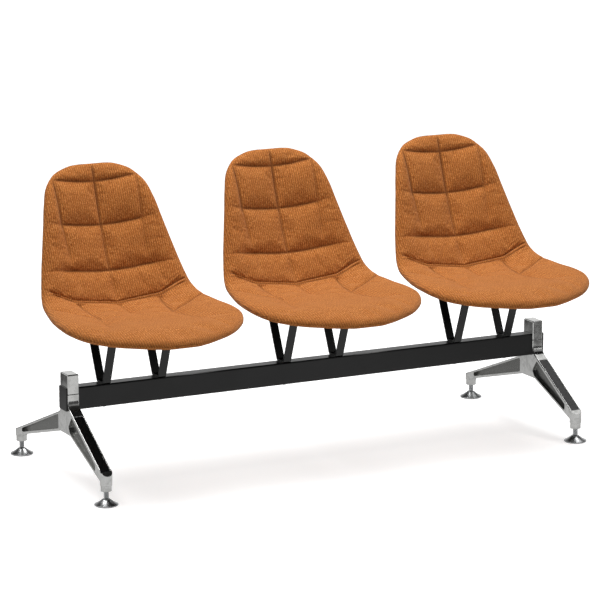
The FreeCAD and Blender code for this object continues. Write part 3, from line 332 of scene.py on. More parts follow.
@dataclass(frozen=True)
class CastMetal:
    """Aluminium pressure casting, polished bright, with darker and rougher recess floors.

    The polishing wheel leaves a faint ripple and duller patches. The recess floors are rougher,
    and their darker colour is painted shade in the hollows. The sunk panel on top of each arm is
    painted black with a fine speckle, as a painted dark reflection. Both masks are face
    attributes. Sizes are in millimetres.
    """

    name: str
    polished: str = "#D2D2D0"
    dull: str = "#BDBDBB"
    recess_shade_colour: str = "#8E8E8B"
    recess_shade_pore: str = "#5E5E5C"
    panel_dark_reflection: str = "#0B0B0B"
    panel_reflection_speckle: str = "#2A2A2A"
    wheel_roughness: tuple[float, float] = (0.09, 0.19)
    cast_roughness: float = 0.34
    panel_roughness: float = 0.24
    ripple: float = 7.0
    pores: float = 0.9
    patch_width: float = 22.0
    relief: float = 0.05
    edge: float = 1.5

    def build(self) -> bpy.types.Material:
        """Build the material on Object coordinates, which are metres here.

        Returns:
            The finished material.
        """
        material, tree = new_material(self.name)
        place = add_node(tree, "ShaderNodeTexCoord").outputs["Object"]
        colours, numbers = {"data_type": "RGBA"}, {"data_type": "FLOAT"}
        ripple, pores, patch = [
            add_node(
                tree, "ShaderNodeTexNoise", Vector=place, Scale=1 / (size * MM), Detail=detail,
                Roughness=0.6,
            )
            for size, detail in ((self.ripple, 2.0), (self.pores, 3.0), (self.patch_width, 3.0))
        ]
        recess, panel = [
            add_node(tree, "ShaderNodeAttribute", {"attribute_name": name}).outputs["Fac"]
            for name in ("Recess", "Panel")
        ]
        # Polished colour; a darker recess colour, which is painted shade in the hollows; a black panel
        # colour, which is a painted dark reflection.
        bright, cast, panel_dark_reflection = [
            add_node(
                tree, "ShaderNodeValToRGB", Fac=noise, stops=[(low, linear(dark)), (high, linear(pale))],
            )
            for noise, low, dark, high, pale in (
                (patch, 0.35, self.dull, 0.55, self.polished),
                (pores, 0.40, self.recess_shade_pore, 0.60, self.recess_shade_colour),
                (pores, 0.45, self.panel_dark_reflection, 0.66, self.panel_reflection_speckle),
            )
        ]
        # The recess floors take the painted shade colour, and the panel floors the painted dark reflection.
        metal = add_node(tree, "ShaderNodeMix", colours, _0=recess, _6=bright, _7=cast).outputs[2]
        colour = add_node(tree, "ShaderNodeMix", colours, _0=panel, _6=metal, _7=panel_dark_reflection).outputs[2]
        wheel_low, wheel_high = self.wheel_roughness
        wheel = add_node(
            tree, "ShaderNodeMapRange", Value=patch, From_Min=0.3, From_Max=0.7,
            To_Min=wheel_low, To_Max=wheel_high,
        )
        bare = add_node(tree, "ShaderNodeMix", numbers, _0=recess, _2=wheel, _3=self.cast_roughness)
        roughness = add_node(tree, "ShaderNodeMix", numbers, _0=panel, _2=bare, _3=self.panel_roughness)
        metallic = add_node(tree, "ShaderNodeMix", numbers, _0=panel, _2=1.0, _3=0.0)
        pitting = add_node(tree, "ShaderNodeMix", numbers, _0=recess, _2=0.12, _3=0.6)
        rounded = add_node(tree, "ShaderNodeBevel", {"samples": 4}, Radius=self.edge * MM)
        wavy = add_node(
            tree, "ShaderNodeBump", Height=ripple, Strength=0.35, Distance=self.relief * MM, Normal=rounded,
        )
        grainy = add_node(
            tree, "ShaderNodeBump", Height=pores, Strength=pitting, Distance=self.relief * MM, Normal=wavy,
        )
        shader = add_node(
            tree, "ShaderNodeBsdfPrincipled", Base_Color=colour, Metallic=metallic, Roughness=roughness,
            Normal=grainy,
        )
        add_node(tree, "ShaderNodeOutputMaterial", Surface=shader)
        return material


# A grained finish gives its colour, how metallic and rough it is, and its grain and relief in
# millimetres, and for some pieces how much the light rounds their edges.
FINISHES = {
    # Polyester weave: matt and mottled orange, with fine ribs, and painted shade in its rib grooves and
    # seams.
    Slot.FABRIC: WovenFabric("melange_fabric", "#B36A2E", "#D38E50", "#8A4C20", "#5A2E12"),
    # Powder coat on steel: deep black with a soft gloss and a fine orange peel.
    Slot.BLACK_STEEL: GrainedFinish("satin_powder_coat", "#040404", 0.0, 0.32, 0.9, 0.02, 0.05, edge=0.8),
    # Polished aluminium casting: bright and slightly wavy, with painted shade in its recesses and black
    # panels as a painted dark reflection.
    Slot.CASTING: CastMetal("polished_casting"),
    # Chrome plate on brushed steel: pale, with soft reflections that follow the cone.
    Slot.FOOT: GrainedFinish("satin_chrome", "#BCBDBE", 1.0, 0.26, 3.0, 0.004, 0.05),
    # Zinc plate on steel: bright, with a slight bloom.
    Slot.ZINC: GrainedFinish("zinc_plated_steel", "#D2D3D4", 1.0, 0.22, 0.8, 0.01, 0.06),
    # Blackened steel: dark and oily, with a trace of metal.
    Slot.BLACKENED: GrainedFinish("blackened_steel", "#1A1A1B", 0.6, 0.42, 0.7, 0.01, 0.08, edge=0.3),
    # Moulded polyamide: dull black, with the fine grain of its mould.
    Slot.BLACK_PLASTIC: GrainedFinish(
        "moulded_black_plastic", "#101010", 0.0, 0.36, 0.5, 0.02, 0.05, edge=0.8,
    ),
    # Moulded polypropylene: matt dark grey.
    Slot.GREY_PLASTIC: GrainedFinish("moulded_grey_plastic", "#4A4A48", 0.0, 0.5, 0.6, 0.02, 0.05),
    # Turned brass: warm yellow with a fine turning grain.
    Slot.BRASS: GrainedFinish("turned_brass", "#C9A45A", 1.0, 0.28, 0.5, 0.01, 0.05),
}


# Mesh helpers

def grid_quads(rows: int, columns: int, closed: bool = False) -> np.ndarray:
    """Faces of a grid whose points are numbered row by row.

    Args:
        rows: Number of rows of points.
        columns: Number of points in a row.
        closed: Whether each row runs back to its first point.

    Returns:
        An array of four point numbers per face.
    """
    row = np.arange(rows - 1)[:, None]
    column = np.arange(columns if closed else columns - 1)[None, :]
    after = (column + 1) % columns
    first, second = row * columns, (row + 1) * columns
    corners = [first + column, first + after, second + after, second + column]
    shape = (rows - 1, column.size)
    return np.stack([np.broadcast_to(corner, shape).ravel() for corner in corners], axis=1)


def mesh_object(
    name: str, points: np.ndarray, quads: np.ndarray, cloth: np.ndarray | None = None,
) -> bpy.types.Object:
    """Make a smooth mesh object from points in millimetres.

    Args:
        name: Name of the piece.
        points: Array of points, three columns.
        quads: Array of faces, four columns.
        cloth: Place of each point on the cloth in millimetres, two columns, for the Weave map.

    Returns:
        The object, linked to the scene.
    """
    mesh = bpy.data.meshes.new(name)
    mesh.vertices.add(len(points))
    mesh.vertices.foreach_set("co", (points * MM).astype(np.float32).ravel())
    mesh.loops.add(quads.size)
    mesh.loops.foreach_set("vertex_index", quads.astype(np.int32).ravel())
    mesh.polygons.add(len(quads))
    mesh.polygons.foreach_set("loop_start", np.arange(0, quads.size, 4, dtype=np.int32))
    mesh.polygons.foreach_set("use_smooth", np.ones(len(quads), dtype=bool))
    mesh.update(calc_edges=True)
    if cloth is not None:
        layer = mesh.uv_layers.new(name="Weave")
        layer.data.foreach_set("uv", (cloth[quads.ravel()] * MM).astype(np.float32).ravel())
    mesh.validate()
    piece = bpy.data.objects.new(name, mesh)
    bpy.context.scene.collection.objects.link(piece)
    return piece


def weld(piece: bpy.types.Object, reach: float = 0.002) -> None:
    """Delete points without a face, merge points that coincide, and turn the faces outwards.

    Args:
        piece: Mesh object.
        reach: Merge distance in millimetres.
    """
    shape = bmesh.new()
    shape.from_mesh(piece.data)
    loose = [vert for vert in shape.verts if not vert.link_faces]
    bmesh.ops.delete(shape, geom=loose, context="VERTS")
    bmesh.ops.remove_doubles(shape, verts=shape.verts, dist=reach * MM)
    bmesh.ops.recalc_face_normals(shape, faces=shape.faces)
    shape.to_mesh(piece.data)
    shape.free()


def smooth_curve(at: np.ndarray, knots: np.ndarray, values: np.ndarray) -> np.ndarray:
    """Cubic curve through the knots, with each slope taken from the knot's two neighbours.

    Args:
        at: Places to evaluate.
        knots: Rising places of the knots.
        values: Value at each knot.

    Returns:
        The curve's values.
    """
    slopes = np.gradient(values, knots)
    index = np.clip(np.searchsorted(knots, at, side="right") - 1, 0, len(knots) - 2)
    span = knots[index + 1] - knots[index]
    share = np.clip((at - knots[index]) / span, 0.0, 1.0)
    square, cube = share ** 2, share ** 3
    return (
        values[index] * (2 * cube - 3 * square + 1) + slopes[index] * span * (cube - 2 * square + share)
        + values[index + 1] * (3 * square - 2 * cube) + slopes[index + 1] * span * (cube - square)
    )


def finish_piece(piece: bpy.types.Object, slot: Slot, body: str, materials: dict, *nodes: str) -> None:
    """Dress a new piece and tie it to the frame.

    Args:
        piece: The new mesh object.
        slot: Material slot of the record.
        body: Body that carries the piece.
        materials: Built material of each slot.
        *nodes: CAD nodes that the piece stands for.
    """
    piece.data.materials.append(materials[slot])
    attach(piece, body)
    if nodes:
        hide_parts(*nodes)
    LOG.info("%s: %d faces", piece.name, len(piece.data.polygons))


# Seats

def fade(place: np.ndarray, start: float, end: float) -> np.ndarray:
    """Smooth step from 0 at the start to 1 at the end: three squares less two cubes of the share."""
    share = np.clip((place - start) / (end - start), 0.0, 1.0)
    return share * share * (3 - 2 * share)


def hollow(distance: np.ndarray, width: float) -> np.ndarray:
    """Share of a seam's depth at a distance from it: 1 on it, falling as an exponential."""
    return np.exp(-np.abs(distance) / width)


@dataclass
class Outline:
    """Outline and middle surface of a seat shell, in millimetres from the seat's own middle.

    The middle surface is swept along a path from the top edge down to the crease and then
    forward. Each station gives its place back and up from the crease as shares of the back or
    the pan, its half width and side lift as shares of the seat's width, and the tilt of the
    section in degrees.
    """

    width: float = 493.0
    pan_length: float = 426.0
    back_rise: float = 349.0
    back_reach: float = 162.0
    crease_y: float = 73.0
    crease_z: float = 439.0
    top_bulge: float = 6.0
    front_bulge: float = 4.0
    softening: float = 11.0
    beyond: float = 100.0
    fine_step: float = 0.5
    narrowest: float = 60.0

    BACK = (
        (1.000, 1.000, 0.150, 73.0, 0.001),
        (0.969, 0.951, 0.227, 71.0, 0.008),
        (0.938, 0.905, 0.260, 70.0, 0.016),
        (0.914, 0.862, 0.282, 66.0, 0.034),
        (0.802, 0.719, 0.318, 62.0, 0.055),
        (0.670, 0.552, 0.343, 51.0, 0.066),
        (0.512, 0.390, 0.369, 42.0, 0.067),
        (0.327, 0.221, 0.396, 26.0, 0.070),
        (0.179, 0.097, 0.414, 14.0, 0.083),
        (0.000, 0.000, 0.430, -3.7, 0.095),
    )
    PAN = (
        (-0.066, -0.026, 0.446, -3.0, 0.077),
        (-0.171, -0.038, 0.462, -8.4, 0.070),
        (-0.324, -0.042, 0.485, -17.0, 0.062),
        (-0.465, -0.040, 0.500, -11.0, 0.054),
        (-0.577, -0.033, 0.497, -3.0, 0.038),
        (-0.683, -0.024, 0.462, 0.0, 0.012),
        (-0.770, -0.016, 0.406, 0.0, -0.007),
        (-0.859, -0.018, 0.324, 5.0, -0.015),
        (-0.922, -0.024, 0.239, 12.0, -0.016),
        (-0.976, -0.035, 0.152, 22.0, -0.010),
        (-1.000, -0.045, 0.091, 30.0, -0.001),
    )
    UPPER, MIDDLE, LOWER, CREASE = 3, 5, 7, 9

    def __post_init__(self) -> None:
        """Turn the station shares to millimetres, and draw the smooth curves through them."""
        table = np.array(self.BACK + self.PAN)
        on_back = np.arange(len(table)) < len(self.BACK)
        y = self.crease_y + table[:, 0] * np.where(on_back, self.back_reach, self.pan_length)
        z = self.crease_z + table[:, 1] * np.where(on_back, self.back_rise, self.pan_length)
        path = np.concatenate([[0.0], np.cumsum(np.hypot(np.diff(y), np.diff(z)))])
        self.stations = path
        self.top = -self.top_bulge
        self.front = float(path[-1]) + self.front_bulge
        self.fine = np.arange(self.top - 60.0, self.front + 60.0, self.fine_step)
        self.curves = {
            "y": self.softened(path, y), "z": self.softened(path, z),
            "tilt": self.softened(path, np.radians(table[:, 3])),
            "lift": self.softened(path, table[:, 4] * self.width),
        }
        # The outline is one smooth closed curve, so its ends are rounded and not cut off.
        half = table[:, 2] * self.width
        knot_x = np.concatenate([-half[2::-1], [0.0], half, [0.0], -half[:-4:-1]])
        knot_s = np.concatenate([path[2::-1], [self.top], path, [self.front], path[:-4:-1]])
        chord = np.concatenate([[0.0], np.cumsum(np.hypot(np.diff(knot_x), np.diff(knot_s)))])
        fine = np.linspace(chord[3], chord[-4], 6000)
        self.line_x = smooth_curve(fine, chord, knot_x)
        self.line_s = np.maximum.accumulate(smooth_curve(fine, chord, knot_s))

    def softened(self, path: np.ndarray, values: np.ndarray) -> np.ndarray:
        """Straight lines through the stations, blurred by a bell curve along the path.

        Args:
            path: Places of the stations.
            values: Value at each station.

        Returns:
            Values at the fine places, run on straight past both ends.
        """
        start = (values[1] - values[0]) / (path[1] - path[0])
        stop = (values[-1] - values[-2]) / (path[-1] - path[-2])
        first, last = values[0] - self.beyond * start, values[-1] + self.beyond * stop
        long_path = np.concatenate([[path[0] - self.beyond], path, [path[-1] + self.beyond]])
        long_values = np.concatenate([[first], values, [last]])
        reach = np.arange(-4 * self.softening, 4 * self.softening + 0.1, self.fine_step)
        bell = np.exp(-0.5 * (reach / self.softening) ** 2)
        wide = np.interp(self.fine[:, None] + reach[None, :], long_path, long_values)
        return wide @ (bell / bell.sum())

    def at(self, name: str, along: np.ndarray) -> np.ndarray:
        """Value of one curve at places on the path."""
        return np.interp(along, self.fine, self.curves[name])

    def half(self, along: np.ndarray) -> np.ndarray:
        """Half width at places on the path."""
        return np.interp(along, self.line_s, self.line_x)

    def middle(self, across: np.ndarray, along: np.ndarray) -> np.ndarray:
        """Points of the middle surface.

        A point lies at its place on the path, moved along the section's tilt by the lift times
        the square of its share of the half width: flat in the middle, steeper outside.

        Args:
            across: Distance from the middle line.
            along: Place on the path.

        Returns:
            Points with a last axis of three.
        """
        share = np.abs(across) / np.maximum(self.half(along), self.narrowest)
        tilt = self.at("tilt", along)
        height = self.at("lift", along) * share ** 2
        y = self.at("y", along) - np.sin(tilt) * height
        z = self.at("z", along) + np.cos(tilt) * height
        return np.stack([across, y, z], axis=-1)

    def normals(self, across: np.ndarray, along: np.ndarray) -> np.ndarray:
        """Unit normals of the middle surface: the cross product of its two slopes.

        Args:
            across: Distance from the middle line.
            along: Place on the path.

        Returns:
            Normals towards the sitter, with a last axis of three.
        """
        step = 1.5
        down = self.middle(across, along + step) - self.middle(across, along - step)
        right = self.middle(across + step, along) - self.middle(across - step, along)
        normal = np.cross(down, right)
        return normal / np.linalg.norm(normal, axis=-1, keepdims=True)

    def distance(self, across: np.ndarray, along: np.ndarray) -> np.ndarray:
        """Distance from each point of the unrolled seat to the nearest point of its outline.

        The points are taken in batches, which keeps the array of all pairs small.

        Args:
            across: Distance from the middle line.
            along: Place on the path.

        Returns:
            Distances in the shape of the grid, and 0 outside the outline.
        """
        batch = 4000
        line_x, line_s = self.line_x[::6], self.line_s[::6]
        flat_x, flat_s = np.abs(across).ravel(), along.ravel()
        distance = np.empty(flat_x.size)
        for start in range(0, flat_x.size, batch):
            part = slice(start, start + batch)
            square = (flat_x[part, None] - line_x) ** 2 + (flat_s[part, None] - line_s) ** 2
            distance[part] = np.sqrt(square.min(axis=1))
        distance[flat_x >= self.half(flat_s) - 1e-6] = 0.0
        return distance.reshape(across.shape)


@dataclass
class SeamLine:
    """One seam or fold of the front cover: where it is, how deep, how wide and how much painted shade it
    gets.
    """

    distance: np.ndarray
    strength: np.ndarray
    width: float
    tone: float


@dataclass
class Quilting:
    """Seams of the front cover and the panels that puff up between them, in millimetres.

    A cross seam lies near its station. Two side seams run down the back and over the pan, and
    their line gives a place on the path and the distance from the middle there.
    """

    outline: Outline
    puff: float = 9.0
    seam_width: float = 11.0
    fold_width: float = 17.0
    seam_shade_width: float = 3.2
    upper_shift: float = 8.0
    upper_bend: float = 9.0
    middle_shift: float = 5.0
    middle_bend: float = 3.0
    lower_shift: float = 6.5
    lower_drop: float = 19.0
    strip_thinning: float = 0.60
    rim_share: float = 0.45
    thin_reach: float = 42.0
    side_seam: float = 119.0
    joint_place: float = 515.0
    joint_across: float = 105.0
    welt_place: float = 392.0
    scallop: float = 5.5
    wing_rise: float = 13.0
    wing_return: float = 8.0
    valley_depth: float = 7.0
    welt_height: float = 2.6
    groove_depth: float = 1.4
    crease_shade: float = 0.9
    wrinkle_height: float = 0.8
    wrinkle_pitch: float = 13.0
    wave_height: float = 0.9

    SIDE = (
        (-20.0, 120.0), (40.0, 121.0), (165.0, 117.0), (245.0, 111.0), (330.0, 114.0), (391.0, 120.0),
        (430.0, 114.0), (515.0, 105.0), (600.0, 111.0), (680.0, 114.0), (830.0, 84.0),
    )

    def __post_init__(self) -> None:
        """Draw the smooth line of the side seams."""
        path, across = np.array(self.SIDE).T
        self.side_line = self.outline.softened(path, across)

    def side(self, along: np.ndarray) -> np.ndarray:
        """Distance of the side seams from the middle line at places on the path."""
        return np.interp(along, self.outline.fine, self.side_line)

    def bend(self, across: np.ndarray) -> np.ndarray:
        """Bend of a cross seam towards the sides: the square of x over the side seam, up to a limit."""
        return np.minimum(np.abs(across) / self.side_seam, 1.3) ** 2

    def upper(self, across: np.ndarray) -> np.ndarray:
        """Place of the upper cross seam, which bends up towards the sides."""
        place = self.outline.stations[self.outline.UPPER] - self.upper_shift
        return place - self.upper_bend * self.bend(across)

    def middle(self, across: np.ndarray) -> np.ndarray:
        """Place of the middle cross seam, which bends up a little towards the sides."""
        place = self.outline.stations[self.outline.MIDDLE] - self.middle_shift
        return place - self.middle_bend * self.bend(across)

    def lower(self, across: np.ndarray) -> np.ndarray:
        """Place of the lower cross seam: level in the middle, and bent down on the wings."""
        drop = self.lower_drop * fade(np.abs(across), 95.0, 240.0)
        return self.outline.stations[self.outline.LOWER] - self.lower_shift + drop

    def crease(self, across: np.ndarray) -> np.ndarray:
        """Place of the crease's welt.

        Two scallops hang from the three seams, each half a sine wave with a blunt top. On each
        wing the welt then runs up the back and turns forward again near the edge.

        Args:
            across: Distance from the middle line.

        Returns:
            Places on the path.
        """
        side = np.abs(across)
        inner = np.minimum(side, self.side_seam)
        hung = self.scallop * np.abs(np.sin(math.pi * inner / self.side_seam)) ** 0.8
        rise, back = fade(side, self.side_seam, 190.0), fade(side, 188.0, 225.0)
        return self.welt_place - hung + (-self.wing_rise * rise + self.wing_return * back)

    def back_lines(self, across: np.ndarray, along: np.ndarray) -> list[SeamLine]:
        """Seams of the back.

        The middle seam weakens past each cross seam and ends above the crease. A side seam runs
        from the upper cross seam to above the lower one, and the right one is weaker. The upper
        cross seam stops at the side seams, and the other two run on over the wings, weaker.

        Args:
            across: Distance from the middle line.
            along: Place on the path.

        Returns:
            The lines, each with arrays of the grid's shape.
        """
        side = np.abs(across)
        at_side = side - self.side(along)
        upper, middle = along - self.upper(across), along - self.middle(across)
        lower, crease = along - self.lower(across), along - self.crease(across)
        inside = 1 - fade(at_side, -6.0, 8.0)
        on_wing = fade(side, 110.0, 165.0)
        past_middle = fade(middle, 0.0, 25.0)
        above_crease = 1 - fade(crease, -22.0, -8.0)
        down_middle = (1 - 0.25 * past_middle - 0.40 * fade(lower, 0.0, 12.0)) * above_crease
        down_side = fade(upper, -4.0, 6.0) * (1 - 0.45 * past_middle) * (1 - fade(lower, -45.0, -15.0))
        down_side *= 1 - 0.40 * fade(across, 0.0, 20.0)
        return [
            SeamLine(across, down_middle, self.seam_width, 1.0),
            SeamLine(at_side, down_side, self.seam_width, 1.0),
            SeamLine(upper, inside, self.seam_width, 1.0),
            SeamLine(middle, 0.38 + 0.62 * inside, self.seam_width, 1.0),
            SeamLine(lower, 1 - 0.70 * on_wing, self.seam_width, 1.0),
        ]

    def pan_lines(self, across: np.ndarray, along: np.ndarray) -> list[SeamLine]:
        """Seams and folds of the pan.

        A side seam runs from the crease to its joint. There a second seam slants back over the
        wing, and a soft fold runs on forward. Another soft fold follows the middle line.

        Args:
            across: Distance from the middle line.
            along: Place on the path.

        Returns:
            The lines, each with arrays of the grid's shape.
        """
        side = np.abs(across)
        at_side = side - self.side(along)
        joint = along - self.joint_place
        on_pan = fade(along - self.crease(across), 8.0, 16.0)
        slanting = joint + 0.50 * (side - self.joint_across)
        outside = fade(side, self.joint_across - 4.0, self.joint_across + 4.0)
        ahead = fade(joint, -8.0, 6.0) * (1 - fade(joint, 80.0, 180.0))
        return [
            SeamLine(at_side, 0.75 * on_pan * (1 - fade(joint, -6.0, 2.0)), self.seam_width, 1.0),
            SeamLine(slanting, 0.85 * outside, self.seam_width, 1.0),
            SeamLine(at_side - 0.12 * joint, 0.75 * ahead, self.fold_width, 0.55),
            SeamLine(across, 0.55 * on_pan * (1 - fade(joint, -60.0, 20.0)), self.fold_width, 0.6),
        ]

    def lines(self, across: np.ndarray, along: np.ndarray) -> list[SeamLine]:
        """All seams and folds."""
        return self.back_lines(across, along) + self.pan_lines(across, along)

    def height(self, across: np.ndarray, along: np.ndarray) -> np.ndarray:
        """Height of the panels above the bottom of a full seam.

        Each seam multiplies the puff by one less its strength times its hollow, so panels crown
        between seams and meet in a sharp valley. The narrow strip above the upper seam thins out
        towards the top edge, and so does the cloth near the outline.

        Args:
            across: Distance from the middle line.
            along: Place on the path.

        Returns:
            Heights in millimetres.
        """
        share = np.ones_like(across)
        for line in self.lines(across, along):
            share *= 1 - line.strength * hollow(line.distance, line.width)
        strip = 1 - self.strip_thinning * fade(self.upper(across) - along, 0.0, self.thin_reach)
        inwards = fade(self.outline.distance(across, along), 0.0, self.thin_reach)
        return self.puff * share * strip * (self.rim_share + (1 - self.rim_share) * inwards)

    def shade(self, across: np.ndarray, along: np.ndarray) -> np.ndarray:
        """Painted shade in the valleys of the seams and folds.

        A narrow bell curve lies round each seam, and one on each side of the crease's welt.

        Args:
            across: Distance from the middle line.
            along: Place on the path.

        Returns:
            Painted shade from 0 to 1.
        """
        dark = np.zeros_like(across)
        for line in self.lines(across, along):
            bell = np.exp(-(line.distance / self.seam_shade_width) ** 2)
            dark = np.maximum(dark, line.tone * line.strength ** 1.5 * bell)
        # Painted shade on each side of the crease's welt.
        crease = along - self.crease(across)
        above = self.crease_shade * np.exp(-((crease + 7.5) / 2.6) ** 2)
        below = self.crease_shade * np.exp(-((crease - 6.8) / 1.8) ** 2)
        return np.maximum(np.maximum(dark, above), below)

    def folds(self, across: np.ndarray, along: np.ndarray) -> np.ndarray:
        """Relief of the crease: a valley under the back, a welt in front of it and a small groove.

        Args:
            across: Distance from the middle line.
            along: Place on the path.

        Returns:
            Heights in millimetres, which fade towards the outline.
        """
        place = along - self.crease(across)
        inset = np.clip((self.outline.half(along) - np.abs(across)) / 30.0, 0.0, 1.0)
        valley = -self.valley_depth * hollow(place + 8.5, 5.5)
        welt = self.welt_height * np.exp(-(place / 3.8) ** 2)
        groove = -self.groove_depth * hollow(place - 7.0, 2.4)
        return (valley + welt + groove) * (0.40 + 0.60 * inset)

    def wrinkles(self, across: np.ndarray, along: np.ndarray) -> np.ndarray:
        """Small folds where the crease meets the sides, and lazy waves all over.

        The folds are a slanting sine wave, which fades as a bell curve away from the crease and
        towards the middle. The waves are two long sine waves across each other.

        Args:
            across: Distance from the middle line.
            along: Place on the path.

        Returns:
            Heights in millimetres.
        """
        place = along - self.crease(across)
        outside = fade(np.abs(across), 95.0, 190.0)
        near_crease = np.exp(-((place + 12.0) / 34.0) ** 2)
        slant = place + 0.30 * np.abs(across)
        small = np.sin(slant * 2 * math.pi / self.wrinkle_pitch + 1.4 * np.sin(across / 17.0))
        lazy = np.sin(along / 21.0 + 2.0 * np.sin(across / 43.0)) * np.sin(across / 31.0 + 1.0)
        return self.wrinkle_height * outside * near_crease * small + self.wave_height * lazy


@dataclass
class PaddedCloth:
    """Cloth simulation that puffs the front cover up between its seams.

    An even sheet lies on the smooth cover, inside its edge. It is pinned at its rim and along
    the seams, has a little spare cloth, and is blown up from inside. What each point moves is
    cut off softly at a cap, and then added to the cover's own grid. The seats are equal, so the
    moves found for the first serve them all. Sizes are in millimetres.
    """

    quilting: Quilting
    pitch: float = 5.0
    rim: float = 6.0
    rim_hold: float = 12.0
    seam_hold: float = 4.5
    crease_hold: float = 13.0
    pressure: float = 3.0
    spare_cloth: float = 0.008
    weight: float = 0.25
    stretch: float = 12.0
    shear: float = 4.0
    bending: float = 0.4
    frames: int = 20
    cap: float = 5.0
    found: np.ndarray | None = None

    def pins(self, across: np.ndarray, along: np.ndarray, distance: np.ndarray) -> np.ndarray:
        """How firmly each point is held: fully at the rim and the crease, by its strength at a seam.

        A seam holds as a bell curve across it, and the crease as a flatter one.

        Args:
            across: Distance from the middle line.
            along: Place on the path.
            distance: Distance from the outline.

        Returns:
            Hold from 0 to 1.
        """
        held = np.clip(1.4 - distance / self.rim_hold, 0.0, 1.0)
        for line in self.quilting.lines(across, along):
            bell = np.exp(-(line.distance / self.seam_hold) ** 2)
            held = np.maximum(held, np.minimum(1.3 * line.strength, 1.0) * bell)
        crease = along - self.quilting.crease(across)
        return np.maximum(held, np.exp(-(crease / self.crease_hold) ** 4))

    def sheet_grid(self) -> tuple[np.ndarray, np.ndarray, np.ndarray]:
        """Even grid of the sheet.

        Returns:
            Share of the half width of each column, place of each row, and half width of each row.
        """
        outline = self.quilting.outline
        rows = np.arange(outline.top + self.rim, outline.front - self.rim, self.pitch)
        columns = int(outline.width / self.pitch) | 1
        return np.linspace(-1.0, 1.0, columns), rows, outline.half(rows) - self.rim / 2

    def blow_up(self, sheet: bpy.types.Object, held: np.ndarray) -> np.ndarray:
        """Pin a sheet, run the simulation on it and remove it.

        Args:
            sheet: The sheet at rest.
            held: How firmly each point is held, from 0 to 1.

        Returns:
            Points of the blown-up sheet in millimetres, three columns.
        """
        group = sheet.vertex_groups.new(name="pins")
        for level in np.unique(held[held > 0]):
            group.add(np.flatnonzero(held == level).tolist(), float(level), "REPLACE")
        cloth = sheet.modifiers.new("cloth", "CLOTH")
        settings = cloth.settings
        settings.quality = 5
        settings.mass = self.weight
        settings.tension_stiffness = settings.compression_stiffness = self.stretch
        settings.shear_stiffness = self.shear
        settings.bending_stiffness = self.bending
        settings.use_pressure = True
        settings.uniform_pressure_force = self.pressure
        settings.shrink_min = -self.spare_cloth
        settings.vertex_group_mass = "pins"
        settings.pin_stiffness = 1.0
        settings.effector_weights.gravity = 0.0
        cloth.collision_settings.use_collision = False
        cloth.point_cache.frame_end = self.frames
        scene = bpy.context.scene
        for number in range(1, self.frames + 1):
            scene.frame_set(number)
        solved = sheet.evaluated_get(bpy.context.evaluated_depsgraph_get()).to_mesh()
        place = np.empty(len(solved.vertices) * 3)
        solved.vertices.foreach_get("co", place)
        scene.frame_set(1)
        bpy.data.objects.remove(sheet, do_unlink=True)
        return place.reshape(-1, 3) / MM

    def solve(self, cover: Callable, across: np.ndarray, along: np.ndarray) -> np.ndarray:
        """Lay the sheet, blow it up, and read its moves at the wanted points.

        A move's length is cut off softly: the cap times the hyperbolic tangent of length over cap. It
        also fades towards the outline.

        Args:
            cover: Function that gives the smooth cover's points, and their distance from the outline.
            across: Distance of each wanted point from the middle line.
            along: Place of each wanted point on the path.

        Returns:
            Move of each wanted point in millimetres.
        """
        share, rows, half = self.sheet_grid()
        sheet_across = share[None, :] * half[:, None]
        sheet_along = np.broadcast_to(rows[:, None], sheet_across.shape)
        rest, distance = cover(sheet_across, sheet_along)
        quads = grid_quads(rows.size, share.size)[:, ::-1]
        sheet = mesh_object("cloth_try", rest.reshape(-1, 3), quads)
        held = np.round(self.pins(sheet_across, sheet_along, distance).ravel(), 2)
        move = self.blow_up(sheet, held).reshape(rest.shape) - rest
        size = np.linalg.norm(move, axis=-1, keepdims=True)
        LOG.info("cloth moves %.2f mm on average and %.2f at most", size.mean(), size.max())
        move *= np.tanh(size / self.cap) * self.cap / np.maximum(size, 1e-9)
        move *= np.clip(distance / (2 * self.rim), 0.0, 1.0)[..., None]
        row = (along - rows[0]) / self.pitch
        column = (across / np.interp(along, rows, half) + 1) / 2 * (share.size - 1)
        return self.between(move, row, column)

    def moves(self, cover: Callable, across: np.ndarray, along: np.ndarray) -> np.ndarray:
        """How far the padding moves each point of the cover.

        Args:
            cover: Function that gives the smooth cover's points, and their distance from the outline.
            across: Distance of each wanted point from the middle line.
            along: Place of each wanted point on the path.

        Returns:
            Move of each wanted point in millimetres.
        """
        if self.found is None:
            self.found = self.solve(cover, across, along)
        return self.found

    @staticmethod
    def between(values: np.ndarray, row: np.ndarray, column: np.ndarray) -> np.ndarray:
        """Values between the points of a grid, by the four corners round each wanted place.

        Args:
            values: Grid of values with a last axis of three.
            row: Wanted place down the grid, in rows.
            column: Wanted place across the grid, in columns.

        Returns:
            Value at each wanted place.
        """
        row = np.clip(row, 0.0, values.shape[0] - 1.001)
        column = np.clip(column, 0.0, values.shape[1] - 1.001)
        top, left = row.astype(int), column.astype(int)
        down, right = (row - top)[..., None], (column - left)[..., None]
        upper = values[top, left] * (1 - right) + values[top, left + 1] * right
        lower = values[top + 1, left] * (1 - right) + values[top + 1, left + 1] * right
        return upper * (1 - down) + lower * down


